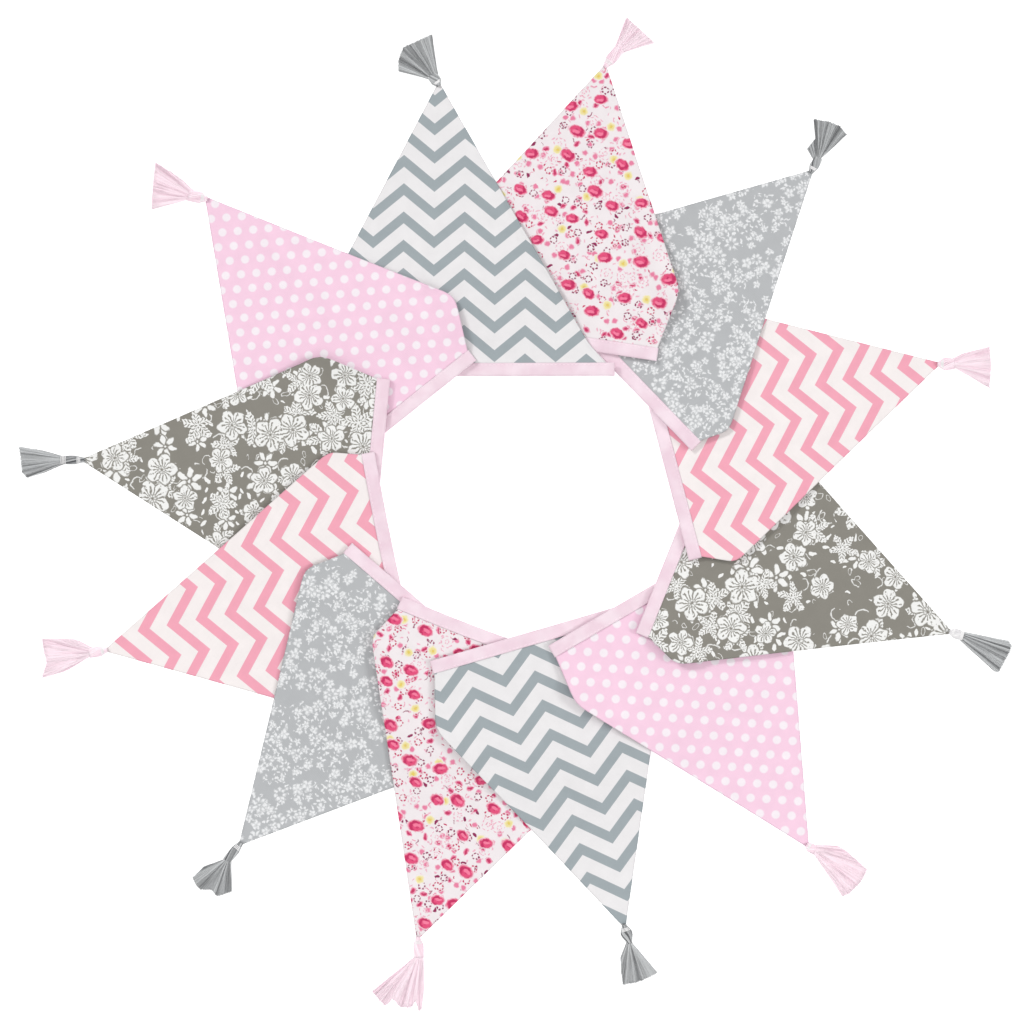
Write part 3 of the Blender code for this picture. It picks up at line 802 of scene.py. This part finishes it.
def pennant_rows(pennant, run):
    """Rows of plan points, as the frame has them but closer, with the shoulders rounded."""
    tip = placed(pennant.tip_x, pennant.tip_y)
    inward = heading(pennant.toward)
    across = (-inward[1], inward[0])
    side, up = pennant.shoulder_side * UNIT, pennant.shoulder_up * UNIT
    base = moved(tip, inward, up)
    point = (moved(tip, across, -TIP_WIDTH / 2), moved(tip, across, TIP_WIDTH / 2))
    shoulder = (moved(base, across, -side), moved(base, across, side))
    first, last = TAPE_END + 2, run.length - max(pennant.corner_gap - 4.0, 1.0)
    lip, edge = -TAPE_WIDTH / 2, EDGE_DEPTH - TAPE_WIDTH / 2
    mouth = (run.beside(first, lip), run.beside(last + MOUTH_FLUSH, lip))
    ends = [point]
    for begin, end, count in ((point, shoulder, ROWS_TO_SHOULDER), (shoulder, mouth, ROWS_TO_MOUTH)):
        for step in range(1, count + 1):
            ends.append(tuple(between(a, b, step / count) for a, b in zip(begin, end)))
    ends += [(run.beside(first, offset), run.beside(last, offset)) for offset in (0.0, edge)]
    for _ in range(2):
        kept = list(ends)
        for r in range(ROWS_TO_SHOULDER - 5, ROWS_TO_SHOULDER + 6):
            ends[r] = tuple(
                between(between(kept[r - 1][k], kept[r + 1][k], 0.5), kept[r][k], 0.4) for k in (0, 1)
            )
    rows = []
    for left, right in ends:
        width = math.dist(left, right)
        rows.append([between(left, right, place / width) for place in across_places(width)])
    return rows


def crumple(number, point, from_edge):
    """Fine unevenness of pressed cotton, in mm."""
    spot = Vector((point[0] / 46, point[1] / 46, number * 3.1))
    broad = noise.noise(spot) * 0.8
    fine = noise.noise(spot * 3.3) * 0.26
    return (broad + fine) * ease(from_edge, -6.0, 18.0)


def creased(number, point):
    """The height that the creases and lifted edges add at a point, in mm."""
    height = 0.0
    for crease in CREASES:
        if crease.number != number:
            continue
        first, last = placed(crease.from_x, crease.from_y), placed(crease.to_x, crease.to_y)
        length = math.dist(first, last)
        along = unit_vector(first, last)
        nearest = moved(first, along, min(max(gone_along(first, along, point), 0.0), length))
        height += crease.height * math.exp(-((math.dist(point, nearest) / crease.width) ** 2))
    return height


def print_place(pennant, u, v):
    """Where a point on the pennant, in mm from its tip, lies on the printed cloth."""
    turn = math.radians(pennant.print_turn)
    turned_u = u * math.cos(turn) - v * math.sin(turn)
    turned_v = u * math.sin(turn) + v * math.cos(turn)
    return (
        (turned_u - pennant.print_u * UNIT) / pennant.print_size,
        (turned_v - pennant.print_v * UNIT) / pennant.print_size,
    )


def make_pennant(number, pennant, run):
    """One pennant: a sheet over its own level of the pinwheel, thicker along its turned edge."""
    rows = pennant_rows(pennant, run)
    tip = placed(pennant.tip_x, pennant.tip_y)
    inward = heading(pennant.toward)
    across = (-inward[1], inward[0])
    beside_tape = right_of(run.chord)
    tops, unders, uvs, edges = [], [], [], []
    for r, row in enumerate(rows):
        for c, point in enumerate(row):
            side = min(math.dist(point, row[0]), math.dist(point, row[-1]))
            flat = ease(math.dist(point, tip), FLAT_NEAR_TIP, LOOSE_PAST_TIP)
            seam = math.exp(-(((side - SEAM_INSET) / SEAM_WIDTH) ** 2))
            half = CLOTH_HALF + (SEAM_HALF - CLOTH_HALF) * seam
            half *= min(1.0, 0.35 + side / SEAM_WIDTH)
            height = cloth_height(number, point) + wave(number, point)
            off_tape = abs(gone_along(run.start, beside_tape, point))
            loose = flat * ease(off_tape, FLAT_NEAR_TAPE, LOOSE_PAST_TAPE)
            height += (crumple(number, point, side) + creased(number, point)) * loose
            height = max(height, half + FLOOR_GAP)
            tops.append((*point, height + half))
            unders.append((*point, height - half))
            uvs.append(
                print_place(pennant, gone_along(tip, across, point), gone_along(tip, inward, point))
            )
            edges.append(side)
    faces = sheet_faces(len(rows), len(rows[0]))
    node = f"flag_{number + 1:02d}_{pennant.print}"
    name, material = f"pennant_{number + 1:02d}", PRINTS[pennant.print]
    piece = new_piece(name, material, tops + unders, faces, uvs + uvs)
    keep(piece, "from_edge", edges + edges)
    outline = [row[0] for row in rows] + [row[-1] for row in reversed(rows)]
    sides = zip(outline, outline[1:] + outline[:1])
    area = abs(sum(a[0] * b[1] - b[0] * a[1] for a, b in sides)) / 2 * METRES**2
    length = math.dist(tip, run.at(run.length / 2)) * METRES
    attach(piece, "root")
    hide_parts(node)


# Binding tape


def folded_section():
    """The tape folded over the cloth's edge, its lips pressed down towards the cloth."""
    lip, fold = -TAPE_WIDTH / 2, TAPE_WIDTH / 2
    upper = [
        (lip, 0.85),
        (lip + 0.5, 1.0),
        (lip + STITCH_INSET, 0.9),
        (lip + 3.2, 1.12),
        (fold - 1.6, 1.2),
        (fold - 0.5, 0.95),
        (fold, 0.4),
    ]
    inner = [(lip + 7.9, 0.75), (lip + 4.0, 0.72), (lip + 0.3, 0.5)]
    outer = [(a, -h) for a, h in upper] + [(a, h) for a, h in reversed(upper)]
    return outer + [(a, h) for a, h in reversed(inner)] + [(a, -h) for a, h in inner]


def plain_section():
    """The tape closed on itself past the cloth, with a shallow groove where its lips meet."""
    folded = folded_section()
    lip = -TAPE_WIDTH / 2
    outer = [(a, 0.5 * (1 if h > 0 else -1) * min(1.0, 0.6 + abs(h) / 2)) for a, h in folded[:14]]
    inner = []
    for a, h in folded[14:]:
        inner.append((lip + 0.45 * (a - lip) / 7.9, 0.2 if h > 0 else -0.2))
    return outer + inner


FOLDED, PLAIN = folded_section(), plain_section()


def pucker(distance, side):
    """The tape drawn in between its stitches, in mm."""
    near = math.exp(-(((side + TAPE_WIDTH / 2 - STITCH_INSET) / 1.6) ** 2))
    slow = noise.noise(Vector((distance / 23, side / 9, 4.0)))
    return 0.07 * near * math.cos(2 * math.pi * distance / STITCH_PITCH) + 0.12 * slow


def flat_ring(level, middle, across, section, face_up, distance):
    """A section of the tape lying on a level of the pinwheel, either side up."""
    ring = []
    for side, above in section:
        point = moved(middle, across, side)
        drawn = pucker(distance, side) if above > 0 else 0.0
        ring.append((*point, cloth_height(level, point) + (above + drawn) * face_up))
    return ring


def bend_rings(level, middle, direction, back):
    """The plain section round a hairpin that drops half a level, as in the frame."""
    across = right_of(direction)
    rings = []
    for n in range(1, BEND_STEPS):
        angle = math.pi * n / BEND_STEPS
        ring = []
        for side, above in PLAIN:
            point = moved(middle, across, side * back)
            high, low = cloth_height(level, point), cloth_height(level + 0.5, point)
            height = high + (low - high) * (1 - math.cos(angle)) / 2 + above * back * math.cos(angle)
            stand = (STEP / 4 + above * back) * math.sin(angle)
            ring.append((*moved(point, direction, stand), height))
        rings.append(ring)
    return rings


def run_rings(number, run, begun):
    """The tape folded over one pennant's edge, and closing at both ends of it."""
    rings = []
    steps = round(run.length / TAPE_STEP)
    for n in range(steps + 1):
        distance = run.length * n / steps
        from_end = min(distance, run.length - distance)
        closed = 1 - ease(from_end, 0.0, TAPE_CLOSED)
        section = [between(a, b, closed) for a, b in zip(FOLDED, PLAIN)]
        across = right_of(run.direction(distance))
        middle = run.at(distance)
        rings.append(flat_ring(number, middle, across, section, 1, begun + distance))
    return rings


def link_rings(number, run, following):
    """The tape's hidden way from one pennant to the next, on a smooth curve from end to start."""
    length = math.dist(run.end, following.start)
    leaving = moved(run.end, run.direction(run.length), -length / 3)
    arriving = moved(following.start, following.direction(0.0), length / 3)
    steps = round(length / TAPE_STEP / 2)
    rings = []
    for n in range(steps + 1):
        points = [run.end, leaving, arriving, following.start]
        while len(points) > 2:
            points = [between(a, b, n / steps) for a, b in zip(points, points[1:])]
        travel = unit_vector(*points)
        middle = between(*points, n / steps)
        rings.append(flat_ring(number + 0.5, middle, (-travel[1], travel[0]), PLAIN, -1, 0.0))
    return rings


def tail_rings(number, run):
    """The tape's last end, lying back under the last run."""
    direction = run.direction(run.length)
    rings = []
    for n in range(BEND_STEPS + 1):
        middle = moved(run.end, direction, -TAIL_LENGTH * n / BEND_STEPS)
        rings.append(flat_ring(number + 0.5, middle, right_of(direction), PLAIN, -1, 0.0))
    return rings


def make_tape():
    """The whole tape as one skin: along each pennant, back under its own end and on to the next."""
    rings = []
    begun = 0.0
    for number, run in enumerate(RUNS):
        rings += run_rings(number, run, begun)
        begun += run.length
        rings += bend_rings(number, run.end, run.direction(run.length), 1)
        if number + 1 == len(RUNS):
            rings += tail_rings(number, run)
            continue
        following = RUNS[number + 1]
        rings += link_rings(number, run, following)
        start = following.direction(0.0)
        rings += bend_rings(number + 0.5, following.start, (-start[0], -start[1]), -1)
    size = len(rings[0])
    sides = [math.dist(FOLDED[0], FOLDED[n]) for n in range(size)]
    points = [point for ring in rings for point in ring]
    uvs, gone = [], 0.0
    for r, ring in enumerate(rings):
        if r:
            gone += math.dist(ring[3], rings[r - 1][3])
        uvs += [(gone, side) for side in sides]
    piece = new_piece("binding", TAPE, points, ring_faces(0, len(rings), size), uvs)
    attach(piece, "root")
    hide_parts("binding_tape")


# Repeats made by Geometry Nodes


def evaluated_copy(name, holder, tree, inputs):
    """The plain mesh that a Geometry Nodes tree makes on the holder, which is then removed."""
    modifier = holder.modifiers.new("make", "NODES")
    modifier.node_group = tree
    for socket in tree.interface.items_tree:
        if socket.name in inputs and socket.in_out == "INPUT":
            modifier[socket.identifier] = inputs[socket.name]
    graph = bpy.context.evaluated_depsgraph_get()
    mesh = bpy.data.meshes.new_from_object(holder.evaluated_get(graph))
    mesh.name = name
    bpy.data.objects.remove(holder, do_unlink=True)
    if not mesh.materials:
        mesh.materials.append(inputs["Material"])
    return put(name, mesh)


def along_points(name, points):
    """A holder whose vertices carry a direction each: points are (place, direction, tone)."""
    mesh = bpy.data.meshes.new(name)
    mesh.from_pydata([[v * METRES for v in place] for place, _, _ in points], [], [])
    mesh.attributes.new("heading", "FLOAT_VECTOR", "POINT")
    mesh.attributes.new("tone", "FLOAT", "POINT")
    heading_of, tone = mesh.attributes["heading"], mesh.attributes["tone"]
    for n, (_, direction, shade) in enumerate(points):
        heading_of.data[n].vector = direction
        tone.data[n].value = shade
    return put(name, mesh)


def begun_tree(name, numbers):
    """A tree with its named inputs, and what turns and stretches a copy along its heading."""
    tree = bpy.data.node_groups.new(name, "GeometryNodeTree")
    kinds = ["Geometry"] + ["Float"] * len(numbers) + ["Material"]
    for label, kind in zip(("Geometry", *numbers, "Material"), kinds):
        tree.interface.new_socket(label, in_out="INPUT", socket_type=f"NodeSocket{kind}")
    tree.interface.new_socket("Geometry", in_out="OUTPUT", socket_type="NodeSocketGeometry")
    given = tree.nodes.new("NodeGroupInput").outputs
    ahead = add(tree, "GeometryNodeInputNamedAttribute", {"Name": "heading"}, data_type="FLOAT_VECTOR")
    turn = add(tree, "FunctionNodeAlignRotationToVector", {"Vector": ahead}, axis="X")
    return tree, given, ahead, turn


def copied(tree, given, shape, turn, size):
    """The shape on every point, turned and sized, as real geometry."""
    inputs = {"Points": given["Geometry"], "Instance": shape, "Rotation": turn, "Scale": size}
    copies = add(tree, "GeometryNodeInstanceOnPoints", inputs)
    return add(tree, "GeometryNodeRealizeInstances", (copies,))


def finish_tree(tree, given, mesh):
    """Gives the mesh its material and smooth shading, and puts it out."""
    done = add(tree, "GeometryNodeSetMaterial", {"Geometry": mesh, "Material": given["Material"]})
    smooth = add(tree, "GeometryNodeSetShadeSmooth", (done,))
    add(tree, "NodeGroupOutput", (smooth,))
    return tree


def stitch_tree():
    """A short thread on each point, lying along the point's heading."""
    tree, given, _, turn = begun_tree("stitches", ("Length", "Thickness"))
    ball = add(tree, "GeometryNodeMeshIcoSphere", {"Radius": 0.5, "Subdivisions": 2})
    size = add(tree, "CombineXYZ", (given["Length"], given["Thickness"], given["Thickness"]))
    return finish_tree(tree, given, copied(tree, given, ball, turn, size))


def make_stitches():
    """One line of machine stitches along the tape's lip, where it binds each pennant."""
    points = []
    for number, run in enumerate(RUNS):
        count = int((run.length - 2 * TAPE_END) / STITCH_PITCH)
        for n in range(count):
            distance = TAPE_END + (n + 0.5) * STITCH_PITCH
            places = []
            for ahead in (-1.0, 0.0, 1.0):
                plan = run.beside(distance + ahead, STITCH_INSET - TAPE_WIDTH / 2)
                places.append((*plan, cloth_height(number, plan) + STITCH_LIFT))
            direction = [(b - a) / 2 for a, b in zip(places[0], places[2])]
            points.append((places[1], direction, 0.5))
    holder = along_points("stitch_points", points)
    inputs = {
        "Length": STITCH_LENGTH * METRES,
        "Thickness": STITCH_THICKNESS * METRES,
        "Material": STRANDS["pink"],
    }
    piece = evaluated_copy("tape_stitches", holder, stitch_tree(), inputs)
    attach(piece, "root")


def strand_tree():
    """A thin, slightly bent strand from each point along its heading, whose length is the
    strand's length."""
    tree, given, ahead, turn = begun_tree("strands", ("Thickness", "Bend", "Bend Length"))
    line = add(tree, "GeometryNodeCurvePrimitiveLine", {"End": (1.0, 0.0, 0.0)})
    line = add(tree, "GeometryNodeResampleCurve", {0: line, "Count": 9})
    length = add(tree, "VectorMath", (ahead,), operation="LENGTH").node.outputs["Value"]
    size = add(tree, "CombineXYZ", (length, 1.0, 1.0))
    real = copied(tree, given, line, turn, size)
    place = add(tree, "GeometryNodeInputPosition")
    scale = add(tree, "Math", (1.0, given["Bend Length"]), operation="DIVIDE")
    drift = add(tree, "TexNoise", {"Vector": place, "Scale": scale, "Detail": 1.0}).node.outputs[1]
    drift = add(tree, "VectorMath", (drift, (0.5,) * 3), operation="SUBTRACT")
    drift = add(tree, "VectorMath", {0: drift, "Scale": given["Bend"]}, operation="SCALE")
    bent = add(tree, "GeometryNodeSetPosition", {0: real, "Offset": drift})
    ring = add(tree, "GeometryNodeCurvePrimitiveCircle", {"Resolution": 4, "Radius": given["Thickness"]})
    tube = add(tree, "GeometryNodeCurveToMesh", {0: bent, 1: ring, "Fill Caps": True})
    return finish_tree(tree, given, tube)


def fan_edge(tassel):
    """The outline of a fan in mm: its points, each with its share of the strands before it."""
    neck = placed(tassel.neck_x, tassel.neck_y)
    points = [placed(*point) for point in tassel.outline]
    edge, gone = [(0.0, points[0])], 0.0
    for before, point in zip(points, points[1:]):
        a = Vector((before[0] - neck[0], before[1] - neck[1]))
        b = Vector((point[0] - neck[0], point[1] - neck[1]))
        gone += a.angle(b) + 0.03
        edge.append((gone, point))
    return [(share / gone, point) for share, point in edge]


def edge_at(edge, share):
    """The point on a fan's outline that a share of the strands reaches."""
    for (low, first), (high, last) in zip(edge, edge[1:]):
        if share <= high:
            return between(first, last, (share - low) / (high - low))
    return edge[-1][1]


def fold(tassel, share, along):
    """How a fan's strands are bunched: 1 on a ridge, -1 in the fold between two. It lifts the strands,
    and also sets their painted light and shade.
    """
    drift = noise.noise(Vector((share * 4.5, tassel.neck_y, along * 0.7)))
    spread = noise.noise(Vector((share * 13, tassel.neck_x, along * 0.5)))
    return min(max(math.sin(share * 30 + drift * 7) * 0.6 + spread * 1.3, -1.0), 1.0)


def fan_body(name, tassel, neck, across, edge):
    """The ribbed mass of strands under the loose ones, resting on the floor, painted darker than they are
    as the shade in the gaps between them.
    """
    top, sole = [], []
    for r in range(FAN_ROWS + 1):
        along = r / FAN_ROWS
        for c in range(FAN_COLUMNS + 1):
            share = c / FAN_COLUMNS
            start = moved(neck, across, (share - 0.5) * tassel.neck * UNIT * 0.94)
            point = between(start, edge_at(edge, share), along * 0.975)
            arch = 1 - 0.6 * (2 * share - 1) ** 2
            ridge = RIDGE_HEIGHT * fold(tassel, share, along) * min(1.0, along * 3)
            height = (FAN_HEIGHT_NECK * (1 - along) + FAN_HEIGHT_ENDS * along) * arch + ridge + 0.1
            top.append((*point, max(height, 0.2)))
            sole.append((*point, FAN_SOLE))
    faces = sheet_faces(FAN_ROWS + 1, FAN_COLUMNS + 1)
    piece = new_piece(name, STRANDS[tassel.colour], top + sole, faces)
    # A low tone: painted shade where the fan shows between the loose strands.
    keep(piece, "tone", [0.3] * len(top + sole))
    return piece


def make_tassel(number, tassel, pennant, tree):
    """A tassel: its fan, the loose strands over it, and its head sewn to the pennant's tip."""
    dice = random.Random(100 + number)
    neck = placed(tassel.neck_x, tassel.neck_y)
    tip = placed(pennant.tip_x, pennant.tip_y)
    edge = fan_edge(tassel)
    across = unit_vector(edge[0][1], edge[-1][1])
    name = f"tassel_{number + 1:02d}"
    body = fan_body(f"{name}_fan", tassel, neck, across, edge)
    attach(body, "root")
    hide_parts(f"{name}_{tassel.colour}")
    points = []
    for n in range(STRAND_COUNT):
        share = (n + dice.random()) / STRAND_COUNT
        ends = min(max(share + dice.gauss(0.0, 0.012), 0.0), 1.0)
        layer = dice.random()
        arch = 1 - 0.6 * (2 * share - 1) ** 2
        raised = fold(tassel, share, 0.8)
        start = moved(neck, across, (share - 0.5) * tassel.neck * UNIT)
        start = (*start, 0.3 + (1.0 + 1.5 * layer) * arch)
        goal = between(start[:2], edge_at(edge, ends), dice.uniform(0.965, 1.0))
        goal = (*goal, max(0.6, 0.8 + 0.7 * layer * arch + RIDGE_HEIGHT * raised))
        direction = [(b - a) * METRES for a, b in zip(start, goal)]
        # Painted light and shade: strands on the fan's ridges are made lighter and those in its folds
        # darker, besides a random tone for each strand.
        tone = 0.5 + 0.5 * raised + dice.uniform(-0.22, 0.22)
        points.append((start, direction, min(max(tone, 0.0), 1.0)))
    holder = along_points(f"{name}_points", points)
    inputs = {
        "Thickness": STRAND_THICKNESS / 2 * METRES,
        "Bend": STRAND_BEND * METRES,
        "Bend Length": STRAND_BEND_LENGTH * METRES,
        "Material": STRANDS[tassel.colour],
    }
    loose = evaluated_copy(f"{name}_strands", holder, tree, inputs)
    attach(loose, "root")
    for piece in make_head(name, tassel, tip, neck):
        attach(piece, "root")


def tube(points, faces, path, radius, sides=8, closed=False):
    """Adds a round tube along a path of 3-D points in mm."""
    first = len(points)
    count = len(path)
    for n, place in enumerate(path):
        before = path[(n - 1) % count] if closed or n else place
        after = path[(n + 1) % count] if closed or n + 1 < count else place
        ahead = (Vector(after) - Vector(before)).normalized()
        side = ahead.cross(Vector((0.0, 0.0, 1.0)))
        side = side.normalized() if side.length > 1e-4 else Vector((1.0, 0.0, 0.0))
        up = side.cross(ahead)
        for k in range(sides):
            angle = 2 * math.pi * k / sides
            at = Vector(place) + (side * math.cos(angle) + up * math.sin(angle)) * radius
            points.append(tuple(at))
    faces += ring_faces(first, count, sides, closed)


def head_half(tassel, share):
    """Half the head's width at a share of the way from the pennant's tip to the neck, in mm."""
    widest = tassel.head * UNIT / 2
    if share < HEAD_WIDEST_AT:
        return HEAD_TIP_HALF + (widest - HEAD_TIP_HALF) * ease(share, 0.0, HEAD_WIDEST_AT)
    low = min(tassel.neck, tassel.head) * UNIT / 2 * 0.92
    return widest + (low - widest) * ease(share, HEAD_WIDEST_AT, 1.0)


def make_head(name, tassel, tip, neck):
    """The twisted bundle from the pennant's tip to the neck, and the thread wound round it."""
    along = unit_vector(tip, neck)
    across = right_of(along)
    length = math.dist(tip, neck) + HEAD_INTO_FAN
    points, faces, tones = [], [], []
    dice = random.Random(name)
    for n in range(CORD_COUNT):
        path = []
        for k in range(CORD_STEPS + 1):
            s = k / CORD_STEPS
            angle = 2 * math.pi * n / CORD_COUNT + CORD_TWIST * s
            half = head_half(tassel, s)
            plan = moved(moved(tip, along, length * s - HEAD_OVER_TIP), across, half * math.cos(angle))
            height = HEAD_MIDDLE + HEAD_RISE * math.sin(angle) - HEAD_DROP * ease(s, 0.8, 1.0)
            path.append((*plan, max(height, CORD_LOWEST)))
        tube(points, faces, path, CORD_RADIUS)
        tone = dice.uniform(-0.3, 0.8)
        tones += [tone] * (len(points) - len(tones))
    colour = "white" if tassel.wrap == "white" else tassel.colour
    pieces = [new_piece(f"{name}_head", STRANDS[colour], points, faces)]
    keep(pieces[0], "tone", tones)
    points, faces = [], []
    for share in THREAD_TURNS if tassel.wrap == "own" else THREAD_TURNS + NECK_TURNS:
        centre = moved(tip, along, length * share)
        ring = []
        half = head_half(tassel, share) + THREAD_OFF_HEAD
        for k in range(THREAD_STEPS):
            angle = 2 * math.pi * k / THREAD_STEPS
            plan = moved(centre, across, half * math.cos(angle))
            ring.append((*plan, THREAD_MIDDLE + THREAD_RISE * math.sin(angle)))
        tube(points, faces, ring, THREAD_RADIUS, closed=True)
    pieces.append(new_piece(f"{name}_thread", STRANDS["white"], points, faces))
    keep(pieces[1], "tone", [0.7] * len(points))
    return pieces


def make_studio():
    """A white light table under a broad soft light, with a window at the upper left and a
    paler one at the right."""
    mesh = bpy.data.meshes.new("floor")
    side = 6.0
    corners = [(-side, -side, 0), (side, -side, 0), (side, side, 0), (-side, side, 0)]
    mesh.from_pydata(corners, [], [(0, 1, 2, 3)])
    floor = put("floor", mesh)
    material = bpy.data.materials.new("floor_white")
    material.use_nodes = True
    shader = material.node_tree.nodes["Principled BSDF"]
    shader.inputs["Base Color"].default_value = (0.9, 0.9, 0.9, 1.0)
    shader.inputs["Roughness"].default_value = 0.9
    shader.inputs["Emission Color"].default_value = (1.0, 1.0, 1.0, 1.0)
    shader.inputs["Emission Strength"].default_value = 0.45
    mesh.materials.append(material)
    floor.location.z = -0.0002
    lamps = (
        ("overhead", "AREA", (0.2, -0.7, 3.1), {"energy": 40.0, "shape": "SQUARE", "size": 3.4}),
        ("window", "SUN", (-1.6, 1.3, 1.8), {"energy": 1.25, "angle": math.radians(14)}),
        ("far_window", "SUN", (1.8, -0.1, 1.4), {"energy": 0.9, "angle": math.radians(18)}),
    )
    for name, kind, place, settings in lamps:
        lamp = bpy.data.lights.new(name, kind)
        for setting, value in settings.items():
            setattr(lamp, setting, value)
        light = put(name, lamp)
        light.location = place
        light.rotation_euler = (-Vector(place)).to_track_quat("-Z", "Y").to_euler()
    world = bpy.data.worlds.new("studio")
    world.use_nodes = True
    background = world.node_tree.nodes["Background"]
    background.inputs["Color"].default_value = (1.0, 1.0, 1.0, 1.0)
    background.inputs["Strength"].default_value = 0.43
    bpy.context.scene.world = world
    bpy.context.scene.view_settings.view_transform = "Standard"


def make_camera():
    """Straight above the middle of the picture, so far off that the view is nearly flat."""
    distance = 2.5
    sensor = 36.0
    middle = placed(PICTURE_SIDE / 2, PICTURE_SIDE / 2)
    width = PICTURE_SIDE * UNIT * METRES
    lens = bpy.data.cameras.new("camera")
    lens.sensor_width = sensor
    lens.lens = sensor * distance / width
    camera = put("camera", lens)
    camera.location = (middle[0] * METRES, middle[1] * METRES, distance)
    bpy.context.scene.camera = camera


make_camera()
make_studio()
for number, (pennant, run) in enumerate(zip(PENNANTS, RUNS)):
    make_pennant(number, pennant, run)
make_tape()
make_stitches()
strands = strand_tree()
for number, (tassel, pennant) in enumerate(zip(TASSELS, PENNANTS)):
    make_tassel(number, tassel, pennant, strands)
